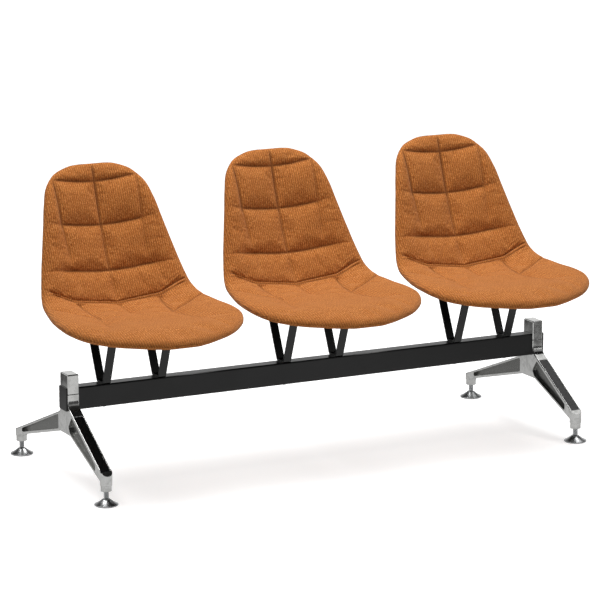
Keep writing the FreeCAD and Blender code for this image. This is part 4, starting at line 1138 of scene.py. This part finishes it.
@dataclass
class Seat:
    """One upholstered seat: a quilted front and a plain rear cover that meet behind the edge.

    Sizes are in millimetres. Rings of the grid are counted inwards from the outline.
    """

    number: int
    centre_x: float
    outline: Outline
    quilting: Quilting
    cloth: PaddedCloth
    front_foam: float = 8.5
    rear_foam: float = 12.0
    edge: float = 17.0
    layer_gap: float = 0.3
    inner_columns: int = 48
    wing_columns: int = 42
    wrap_rings: int = 10
    end_rows: int = 23
    row_pitch: float = 2.6
    crease_closer: float = 0.5
    crease_reach: float = 26.0

    def row_places(self) -> np.ndarray:
        """Places of the rows on the path.

        Rows lie closer together round the crease, and close up at both ends as a cosine does.

        Returns:
            Rising places, from the outline's top end to its front end.
        """
        turn = self.edge * 1.5
        start, stop = self.outline.top + turn, self.outline.front - turn
        step = 0.5
        fine = np.arange(start, stop, step)
        near_crease = np.exp(-((fine - self.quilting.welt_place) / self.crease_reach) ** 4)
        spacing = self.row_pitch * (1 - self.crease_closer * near_crease)
        number = np.concatenate([[0.0], np.cumsum(step / spacing[:-1])])
        body = np.interp(np.linspace(0, number[-1], int(number[-1])), number, fine)
        close = turn * (1 - np.cos(np.arange(self.end_rows + 1) / self.end_rows * math.pi / 2))
        return np.concatenate([self.outline.top + close, body[1:-1], self.outline.front - close[::-1]])

    def flat_grid(self) -> tuple[np.ndarray, np.ndarray]:
        """Grid of the unrolled seat, with a column on each side seam.

        Columns are even between the side seams, and close up towards the edge as a sine does.

        Returns:
            Distance from the middle line and place on the path of each point.
        """
        along = self.row_places()
        half = self.outline.half(along)
        side = np.minimum(self.quilting.side(along), 0.7 * half)
        wing = np.sin(np.arange(1, self.wing_columns + 1) / self.wing_columns * math.pi / 2)
        inner = np.linspace(-1.0, 1.0, 2 * self.inner_columns + 1)
        wing_share = np.concatenate([-wing[::-1], np.zeros(inner.size), wing])
        inner_share = np.concatenate([-np.ones(wing.size), inner, np.ones(wing.size)])
        across = inner_share[None, :] * side[:, None] + wing_share[None, :] * (half - side)[:, None]
        return across, np.broadcast_to(along[:, None], across.shape).copy()

    def cover(self, across: np.ndarray, along: np.ndarray) -> tuple[np.ndarray, np.ndarray]:
        """Points of the front cover before its cloth is puffed up.

        A point stands on the middle surface by the foam and the quilting. The edge turns as a
        quarter ellipse: no thickness on the outline, all of it past the edge width.

        Args:
            across: Distance from the middle line.
            along: Place on the path.

        Returns:
            Points, and their distance from the outline.
        """
        distance = self.outline.distance(across, along)
        share = np.clip(distance / self.edge, 0.0, 1.0)
        lift = np.sqrt(1 - (1 - share) ** 2) * (self.front_foam + self.quilting.height(across, along))
        relief = self.quilting.folds(across, along) + self.quilting.wrinkles(across, along)
        lift += np.clip(distance / (1.5 * self.edge), 0.0, 1.0) * relief
        normal = self.outline.normals(across, along)
        return self.outline.middle(across, along) + normal * lift[..., None], distance

    @staticmethod
    def cloth_places(points: np.ndarray) -> np.ndarray:
        """Place of each grid point on the unrolled cloth.

        Args:
            points: Grid of points of the smooth cover, edge included.

        Returns:
            Length along the row from the middle column, and along the column from the first row.
        """
        in_row = np.linalg.norm(np.diff(points, axis=1), axis=-1)
        across = np.concatenate([np.zeros((len(points), 1)), np.cumsum(in_row, axis=1)], axis=1)
        across -= across[:, across.shape[1] // 2][:, None]
        in_column = np.linalg.norm(np.diff(points, axis=0), axis=-1)
        along = np.concatenate([np.zeros((1, points.shape[1])), np.cumsum(in_column, axis=0)])
        middle_row = len(points) // 2
        along = along - along[middle_row][None, :]
        return np.stack([across, along], axis=-1).reshape(-1, 2)

    @staticmethod
    def two_layers(quads: np.ndarray, ring: np.ndarray, start: int) -> np.ndarray:
        """Faces of an outer grid and its lining, which meet in the points of their first ring.

        Args:
            quads: Faces of one grid, in the order that points the outer ones outwards.
            ring: Ring of each grid point.
            start: Number of the first ring.

        Returns:
            Faces over the outer grid's points followed by the lining's.
        """
        ring = ring.ravel()
        kept = quads[(ring >= start)[quads].all(axis=1)]
        lining = np.where(ring == start, 0, ring.size) + np.arange(ring.size)
        return np.concatenate([kept, lining[kept[:, ::-1]]])

    def build(self, materials: dict) -> None:
        """Build the quilted front, which wraps round the edge, and the plain rear inside it.

        Args:
            materials: Built material of each slot.
        """
        across, along = self.flat_grid()
        middle = self.outline.middle(across, along)
        normal = self.outline.normals(across, along)
        front, distance = self.cover(across, along)
        front = front + self.cloth.moves(self.cover, across, along)
        inwards = np.clip(distance / self.edge, 0.0, 1.0)
        turn = np.sqrt(1 - (1 - inwards) ** 2)
        rows, columns = across.shape
        row, column = np.arange(rows)[:, None], np.arange(columns)[None, :]
        ring = np.minimum(np.minimum(row, rows - 1 - row), np.minimum(column, columns - 1 - column))
        wraps = (ring <= self.wrap_rings)[..., None]
        # The two covers pinch together along the ring where they meet.
        pinch = 0.8 * np.exp(-np.abs(ring - self.wrap_rings)) * (ring > 0)
        rear = middle - normal * (turn * self.rear_foam - pinch)[..., None]
        # Painted shade of the seams and folds, faded out on the rounded edge.
        shade = self.quilting.shade(across, along) * inwards
        cloth = self.cloth_places(middle + normal * (turn * self.front_foam)[..., None])
        quads = grid_quads(rows, columns)
        self.add(
            "quilted_pad_%d" % self.number, "seat_quilted_pad_%d" % self.number, front,
            np.where(wraps, rear, middle + normal * self.layer_gap), self.two_layers(quads, ring, 0),
            cloth, shade, materials,
        )
        self.add(
            "rear_cover_%d" % self.number, "seat_rear_cover_%d" % self.number, rear,
            np.where(wraps, rear, middle - normal * self.layer_gap),
            self.two_layers(quads[:, ::-1], ring, self.wrap_rings), cloth, np.zeros_like(shade), materials,
        )

    def add(
        self, name: str, node: str, outer: np.ndarray, lining: np.ndarray, quads: np.ndarray,
        cloth: np.ndarray, shade: np.ndarray, materials: dict,
    ) -> None:
        """Make one upholstered piece of its outer and inner grids.

        Args:
            name: Name of the piece.
            node: CAD node that it replaces.
            outer: Points of the visible face.
            lining: Points of the hidden face.
            quads: Faces over both grids.
            cloth: Place on the cloth of each grid point.
            shade: Painted seam shade of each grid point.
            materials: Built material of each slot.
        """
        points = np.concatenate([outer.reshape(-1, 3), lining.reshape(-1, 3)])
        points = points + np.array([self.centre_x, 0.0, 0.0])
        piece = mesh_object(name, points, quads, np.concatenate([cloth, cloth]))
        # The photographed metal shows no orange, so reflections leave the covers out.
        piece.visible_glossy = False
        # The seam attribute holds the painted shade of the seams and folds.
        layer = piece.data.attributes.new("Seam", "FLOAT", "POINT")
        layer.data.foreach_set("value", np.tile(shade.ravel(), 2).astype(np.float32))
        weld(piece)
        finish_piece(piece, Slot.FABRIC, "frame", materials, node)


# Feet

@dataclass
class LevellingFoot:
    """Conical chromed cup on a ball, with a threaded stud that screws into the leg.

    Sizes are in millimetres, and heights are above the floor.
    """

    side: LegSide
    end: FootEnd
    cup_radius: float = 31.0
    cup_top: float = 17.5
    rim_low: float = 1.0
    rim_high: float = 4.0
    rim_round: float = 1.1
    rim_chamfer: float = 0.4
    dish: float = 0.9
    crown_radius: float = 9.25
    crown_width: float = 1.2
    crown_round: float = 0.9
    hole_chamfer: float = 0.5
    sole_radius: float = 29.5
    sole_top: float = 3.0
    socket_radius: float = 7.1
    socket_wide: float = 11.0
    socket_top: float = 14.4
    ball_radius: float = 7.0
    ball_height: float = 10.06
    neck_radius: float = 4.8
    neck_room: float = 0.8
    neck_flare: float = 0.6
    stud_radius: float = 7.0
    stud_top: float = 56.0
    thread_pitch: float = 2.0
    thread_depth: float = 1.1
    run_out: float = 1.5
    around: int = 96
    rows_per_turn: int = 10

    @property
    def tag(self) -> str:
        """Part of the names of this foot's nodes."""
        return "%s_%s" % (self.side.value, self.end.value)

    def axis(self) -> np.ndarray:
        """Middle of the foot on the floor, in millimetres, from the CAD cup's box."""
        low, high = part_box("foot_cup_%s" % self.tag)
        return np.array([(low.x + high.x) / 2, (low.y + high.y) / 2, 0.0]) / MM

    def lathe(self, name: str, radius: np.ndarray, height: np.ndarray) -> bpy.types.Object:
        """Turn a section once round the foot's axis: x and y are radius times cosine and sine.

        Args:
            name: Name of the piece.
            radius: Radius of each point, with a row for each height and a column for each angle,
                or one column for all of them.
            height: Height of each row, from one end of the section to the other.

        Returns:
            The closed mesh object.
        """
        angle = np.arange(self.around) * 2 * math.pi / self.around
        radius = np.broadcast_to(radius, (len(height), self.around))
        upright = np.broadcast_to(height[:, None], radius.shape)
        points = np.stack([radius * np.cos(angle), radius * np.sin(angle), upright], axis=-1)
        quads = grid_quads(len(height), self.around, closed=True)
        piece = mesh_object(name, points.reshape(-1, 3) + self.axis(), quads)
        weld(piece)
        return piece

    def build_cup(self, materials: dict) -> None:
        """Build the cup: an upright rim, a cone that dishes by a sine, a rolled crown and a socket.

        Args:
            materials: Built material of each slot.
        """
        quarter = np.linspace(0.0, math.pi / 2, 7)
        rim = np.stack([
            self.cup_radius - self.rim_round + self.rim_round * np.cos(quarter),
            self.rim_high - self.rim_round + self.rim_round * np.sin(quarter),
        ], axis=1)
        crown_outer, crown_low = self.crown_radius + self.crown_width, self.cup_top - self.crown_round
        share = np.linspace(0.0, 1.0, 24)[1:]
        cone = rim[-1] + (np.array([crown_outer, crown_low]) - rim[-1]) * share[:, None]
        cone[:, 1] -= self.dish * np.sin(share * math.pi)
        crown = np.stack([
            crown_outer - 2.0 * np.sin(quarter) * self.crown_round,
            crown_low + self.crown_round * np.sin(quarter),
        ], axis=1)
        hole = self.neck_radius + self.neck_room
        inner = np.array([
            [hole + self.hole_chamfer, self.cup_top], [hole, self.cup_top - self.hole_chamfer],
            [hole, self.socket_top], [self.socket_radius, self.socket_wide],
            [self.socket_radius, self.sole_top], [self.sole_radius, self.sole_top],
            [self.sole_radius, self.rim_low], [self.cup_radius - self.rim_chamfer, self.rim_low],
            [self.cup_radius, self.rim_low + self.rim_chamfer],
        ])
        profile = np.concatenate([rim, cone, crown, inner, rim[:1]])
        cup = self.lathe("chromed_cup_%s" % self.tag, profile[:, :1], profile[:, 1])
        finish_piece(cup, Slot.FOOT, "foot_%s" % self.tag, materials, "foot_cup_%s" % self.tag)

    def build_stud(self, materials: dict) -> None:
        """Build the stud: a ball, a neck and a screw thread.

        The thread's radius falls from the crest by a triangle wave of height over pitch less
        angle over a full turn, and runs out at both ends.

        Args:
            materials: Built material of each slot.
        """
        neck_top = self.cup_top + self.neck_room
        turns = (self.stud_top - neck_top) / self.thread_pitch
        height = np.linspace(neck_top, self.stud_top, int(turns * self.rows_per_turn) + 1)
        turned = np.arange(self.around) * 2 * math.pi / self.around / (2 * math.pi)
        wave = np.abs(((height[:, None] / self.thread_pitch - turned) % 1.0) * 2 - 1)
        flank = np.clip(wave * 1.25 - 0.12, 0.0, 1.0)
        from_end = np.minimum(height - neck_top, self.stud_top - height)
        chamfer = self.thread_depth * (1 - np.clip(from_end / self.run_out, 0.0, 1.0))
        crest = self.stud_radius - chamfer[:, None]
        thread = np.minimum(self.stud_radius - self.thread_depth * flank, crest)
        turn = np.linspace(-math.pi / 2, math.acos(self.neck_radius / self.ball_radius), 20)
        ball = np.stack([
            self.ball_radius * np.cos(turn), self.ball_height + self.ball_radius * np.sin(turn),
        ], axis=1)
        ball[0, 0] = 0.0
        low = np.concatenate([ball, [
            [self.neck_radius, neck_top - self.neck_flare], [self.neck_radius + self.neck_flare, neck_top],
        ]])
        low_radius = np.broadcast_to(low[:, :1], (len(low), self.around))
        stud = self.lathe(
            "threaded_stud_%s" % self.tag,
            np.concatenate([low_radius, thread, np.zeros((1, self.around))]),
            np.concatenate([low[:, 1], height, [self.stud_top]]),
        )
        finish_piece(stud, Slot.ZINC, "stud_%s" % self.tag, materials, "foot_stud_%s" % self.tag)

    def build(self, materials: dict) -> None:
        """Build the foot's new pieces, in the finish of their slots."""
        self.build_cup(materials)
        self.build_stud(materials)


# Legs

@dataclass
class CastLeg:
    """One cast leg: the CAD form with its recess floors and sunk top panels marked for the finish.

    Sizes are in millimetres, and slopes in degrees. A face counts as turned one way when the
    cosine between its normal and that way is above the limit.
    """

    side: LegSide
    half_width: float = 16.0
    recess_depth: float = 9.5
    panel_sink: float = 1.2
    front_slope: float = 31.0
    rear_slope: float = 20.9
    reach: float = 0.15
    sideways: float = 0.99
    parallel: float = 0.9995

    def marks(self, mesh: bpy.types.Mesh) -> tuple[np.ndarray, np.ndarray]:
        """Find the recess floors and the panel floors.

        A recess floor faces along the beam and lies one recess depth inside the leg's side. A
        panel floor faces up its arm's slope and lies about one sink below the arm's highest plane.

        Args:
            mesh: Mesh of the leg, in metres.

        Returns:
            Recess mark and panel mark of each face, 0 or 1.
        """
        count = len(mesh.polygons)
        normal, centre = np.empty(count * 3), np.empty(count * 3)
        mesh.polygons.foreach_get("normal", normal)
        mesh.polygons.foreach_get("center", centre)
        normal, centre = normal.reshape(-1, 3), centre.reshape(-1, 3) / MM
        middle = (centre[:, 0].min() + centre[:, 0].max()) / 2
        floor = self.half_width - self.recess_depth
        inside = np.abs(np.abs(centre[:, 0] - middle) - floor) < self.reach
        recess = (np.abs(normal[:, 0]) > self.sideways) & inside
        panel = np.zeros(count, dtype=bool)
        for slope, direction in ((self.front_slope, -1.0), (self.rear_slope, 1.0)):
            turn = math.radians(slope)
            facing = np.array([0.0, direction * math.sin(turn), math.cos(turn)])
            level = centre @ facing
            flat = normal @ facing > self.parallel
            below = level[flat].max() - level
            panel |= flat & (below > 0.5 * self.panel_sink) & (below < 1.5 * self.panel_sink)
        return recess.astype(np.float32), panel.astype(np.float32)

    def build(self, materials: dict) -> None:
        """Copy the CAD casting and mark its faces.

        Args:
            materials: Built material of each slot.
        """
        node = "leg_casting_%s" % self.side.value
        mesh = frame["nodes"][node].data.copy()
        mesh.materials.clear()
        for name, values in zip(("Recess", "Panel"), self.marks(mesh)):
            mesh.attributes.new(name, "FLOAT", "FACE").data.foreach_set("value", values)
        piece = bpy.data.objects.new("cast_leg_%s" % self.side.value, mesh)
        bpy.context.scene.collection.objects.link(piece)
        finish_piece(piece, Slot.CASTING, "frame", materials, node)


# Carried-over nodes

@dataclass
class CarriedNodes:
    """CAD nodes whose shape is right and that only get their finish."""

    def build(self, materials: dict) -> None:
        """Give each shown CAD node the material of its slot.

        Args:
            materials: Built material of each slot.
        """
        slots = {row["node"]: row["material_slot"] for row in frame["record"]["subparts"]}
        for name, node in frame["nodes"].items():
            if node.hide_render:
                continue
            node.data.materials.clear()
            node.data.materials.append(materials[Slot(slots[name])])
            LOG.info("%s: finish %s", name, slots[name])


# Studio

@dataclass(frozen=True)
class Panel:
    """A bright card or a soft lamp: its place, the point that it faces and its size in metres.

    The strength is a card's brightness, where 1 is white, or a lamp's power in watts.
    """

    name: str
    place: tuple[float, float, float]
    aim: tuple[float, float, float]
    size: tuple[float, float]
    strength: float

    def facing(self) -> np.ndarray:
        """Unit vector from the panel to the point that it faces."""
        way = np.array(self.aim) - np.array(self.place)
        return way / np.linalg.norm(way)


@dataclass
class Studio:
    """Plain pale floor, soft lamps and the camera of the photograph.

    Places and sizes are in metres, angles in degrees and the focal length in pixels.
    """

    camera_place: tuple[float, float, float] = (-3.7339, -7.2530, 2.1757)
    azimuth: float = -27.10
    elevation: float = 12.16
    focal_pixels: float = 3111.4
    picture: float = 600.0
    sensor: float = 36.0
    floor_half: float = 60.0
    floor_colour: str = "#E6E6E6"
    floor_glow: float = 0.70
    glow_start: float = 1.0
    glow_end: float = 4.0
    mirrored_half: float = 3.0
    spot_place: tuple[float, float, float] = (1.32, -1.2, 0.0)
    spot_inner: float = 0.30
    spot_outer: float = 0.52
    spot_tone: float = 0.16
    ambient: float = 0.15
    cards: tuple[Panel, ...] = (
        Panel("bright_card", (1.6, -3.3, 2.3), (0.6, 0.0, 0.2), (5.0, 1.8), 0.25),
        Panel("left_card", (-2.6, 0.9, 2.6), (0.0, -0.2, 0.2), (2.2, 1.3), 1.3),
        Panel("right_card", (1.85, 0.45, 2.10), (0.7, -0.4, 0.2), (1.1, 0.9), 0.9),
    )
    lamps: tuple[Panel, ...] = (
        Panel("overhead", (0.0, 0.1, 3.2), (0.0, 0.0, 0.4), (4.2, 1.6), 130.0),
        Panel("front_fill", (3.0, -3.2, 2.2), (0.0, 0.0, 0.5), (1.6, 1.6), 19.0),
    )

    CORNERS = ((-1, -1), (1, -1), (1, 1), (-1, 1))

    def build_camera(self) -> None:
        """Set the camera where the fit to the photograph puts it."""
        data = bpy.data.cameras.new("camera")
        data.sensor_width = self.sensor
        data.lens = self.focal_pixels / self.picture * self.sensor
        data.clip_end = 100.0
        camera = bpy.data.objects.new("camera", data)
        bpy.context.scene.collection.objects.link(camera)
        camera.location = self.camera_place
        camera.rotation_euler = (math.radians(90.0 - self.elevation), 0.0, math.radians(self.azimuth))
        bpy.context.scene.camera = camera

    def build_floor(self) -> None:
        """Lay a pale floor that shows white to the camera and keeps the bench's shadow.

        Polished metal sees the floor lighter in front of the bench, darker behind it, and dark in
        one spot ahead of the right leg, as in a studio with black cards on a white sweep.
        """
        corners = np.array([[x, y, 0] for x, y in self.CORNERS]) * self.floor_half / MM
        floor = mesh_object("floor", corners, np.array([[0, 1, 2, 3]]))
        material, tree = new_material("pale_floor")
        path = add_node(tree, "ShaderNodeLightPath")
        place = add_node(tree, "ShaderNodeTexCoord").outputs["Object"]
        depth = add_node(tree, "ShaderNodeSeparateXYZ", Vector=place).outputs["Y"]
        share = add_node(
            tree, "ShaderNodeMapRange", Value=depth, From_Min=-self.mirrored_half,
            From_Max=self.mirrored_half, To_Min=0.0, To_Max=1.0,
        )
        tone = add_node(tree, "ShaderNodeValToRGB", Fac=share, stops=[
            (0.10, grey(0.03)), (0.18, grey(0.90)), (0.45, grey(0.70)), (0.60, grey(0.60)),
            (0.65, grey(0.45)), (0.675, grey(0.10)), (0.77, grey(0.04)),
        ])
        from_spot = add_node(
            tree, "ShaderNodeVectorMath", {"operation": "DISTANCE"}, _0=place, _1=self.spot_place,
        ).outputs["Value"]
        dim = add_node(
            tree, "ShaderNodeMapRange", Value=from_spot, From_Min=self.spot_inner,
            From_Max=self.spot_outer, To_Min=self.spot_tone, To_Max=1.0,
        )
        away = add_node(tree, "ShaderNodeVectorMath", {"operation": "LENGTH"}, _0=place).outputs["Value"]
        lit = add_node(
            tree, "ShaderNodeMapRange", {"interpolation_type": "SMOOTHSTEP"}, Value=away,
            From_Min=self.glow_start, From_Max=self.glow_end, To_Min=self.floor_glow, To_Max=1.0,
        )
        diffuse = add_node(tree, "ShaderNodeBsdfDiffuse", Color=linear(self.floor_colour))
        glow = add_node(tree, "ShaderNodeEmission", Color=grey(1.0), Strength=lit)
        shine = add_node(tree, "ShaderNodeEmission", Color=tone, Strength=dim)
        seen = add_node(tree, "ShaderNodeAddShader", _0=diffuse, _1=glow)
        first = add_node(
            tree, "ShaderNodeMixShader", _0=path.outputs["Is Glossy Ray"], _1=diffuse, _2=shine,
        )
        second = add_node(tree, "ShaderNodeMixShader", _0=path.outputs["Is Camera Ray"], _1=first, _2=seen)
        add_node(tree, "ShaderNodeOutputMaterial", Surface=second)
        floor.data.materials.append(material)

    def build_card(self, panel: Panel) -> None:
        """Stand a card that only polished surfaces see.

        Args:
            panel: Place, size and brightness of the card.
        """
        facing = panel.facing()
        right = np.cross(facing, (0.0, 0.0, 1.0))
        right = right / np.linalg.norm(right)
        up = np.cross(right, facing)
        width, height = panel.size
        corners = [
            np.array(panel.place) + right * width / 2 * x + up * height / 2 * y for x, y in self.CORNERS
        ]
        card = mesh_object(panel.name, np.array(corners) / MM, np.array([[0, 1, 2, 3]]))
        material, tree = new_material(panel.name)
        glow = add_node(tree, "ShaderNodeEmission", Color=grey(1.0), Strength=panel.strength)
        add_node(tree, "ShaderNodeOutputMaterial", Surface=glow)
        card.data.materials.append(material)
        card.visible_camera = card.visible_diffuse = card.visible_shadow = False

    def build_world(self) -> None:
        """Light all round: white to the camera and soft to matt surfaces.

        Reflections see a bright band low behind the bench, a dim front and a dark ceiling.
        """
        world = bpy.data.worlds.new("studio")
        bpy.context.scene.world = world
        world.use_nodes = True
        tree = world.node_tree
        tree.nodes.clear()
        path = add_node(tree, "ShaderNodeLightPath")
        direction = add_node(tree, "ShaderNodeTexCoord").outputs["Generated"]
        split = add_node(tree, "ShaderNodeSeparateXYZ", Vector=direction)
        behind = add_node(
            tree, "ShaderNodeMapRange", Value=split.outputs["Y"], From_Min=-0.35, From_Max=0.40,
            To_Min=0.10, To_Max=1.0,
        )
        band = add_node(tree, "ShaderNodeValToRGB", Fac=split.outputs["Z"], stops=[
            (0.0, grey(0.9)), (0.25, grey(0.9)), (0.42, grey(0.30)), (0.62, grey(0.03)),
        ])
        soft = add_node(tree, "ShaderNodeBackground", Color=grey(1.0), Strength=self.ambient)
        mirror = add_node(tree, "ShaderNodeBackground", Color=band, Strength=behind)
        white = add_node(tree, "ShaderNodeBackground", Color=grey(1.0), Strength=1.0)
        first = add_node(
            tree, "ShaderNodeMixShader", _0=path.outputs["Is Glossy Ray"], _1=soft, _2=mirror,
        )
        second = add_node(tree, "ShaderNodeMixShader", _0=path.outputs["Is Camera Ray"], _1=first, _2=white)
        add_node(tree, "ShaderNodeOutputWorld", Surface=second)

    def build_lamp(self, panel: Panel) -> None:
        """Hang one soft area lamp.

        Args:
            panel: Place, size and power of the lamp.
        """
        data = bpy.data.lights.new(panel.name, "AREA")
        data.shape = "RECTANGLE"
        data.size, data.size_y = panel.size
        data.energy = panel.strength
        lamp = bpy.data.objects.new(panel.name, data)
        bpy.context.scene.collection.objects.link(lamp)
        facing = panel.facing()
        lamp.location = panel.place
        lamp.rotation_euler = (math.acos(-facing[2]), 0.0, math.atan2(facing[1], facing[0]) - math.pi / 2)

    def build(self) -> None:
        """Build the camera, floor, world, cards and lamps, and set the plain view transform."""
        self.build_camera()
        self.build_floor()
        self.build_world()
        for panel in self.cards:
            self.build_card(panel)
        for panel in self.lamps:
            self.build_lamp(panel)
        bpy.context.scene.view_settings.view_transform = "Standard"


def main() -> None:
    """Build the bench's looks and the studio."""
    logging.basicConfig(level=logging.INFO, format="%(name)s %(message)s")
    materials = {slot: finish.build() for slot, finish in FINISHES.items()}
    outline = Outline()
    quilting = Quilting(outline)
    cloth = PaddedCloth(quilting)
    for number, centre in enumerate(SEAT_CENTRES, start=1):
        Seat(number, centre, outline, quilting, cloth).build(materials)
    for side in LegSide:
        CastLeg(side).build(materials)
        for end in FootEnd:
            LevellingFoot(side, end).build(materials)
    CarriedNodes().build(materials)
    Studio().build()


if __name__ == "__main__":
    main()
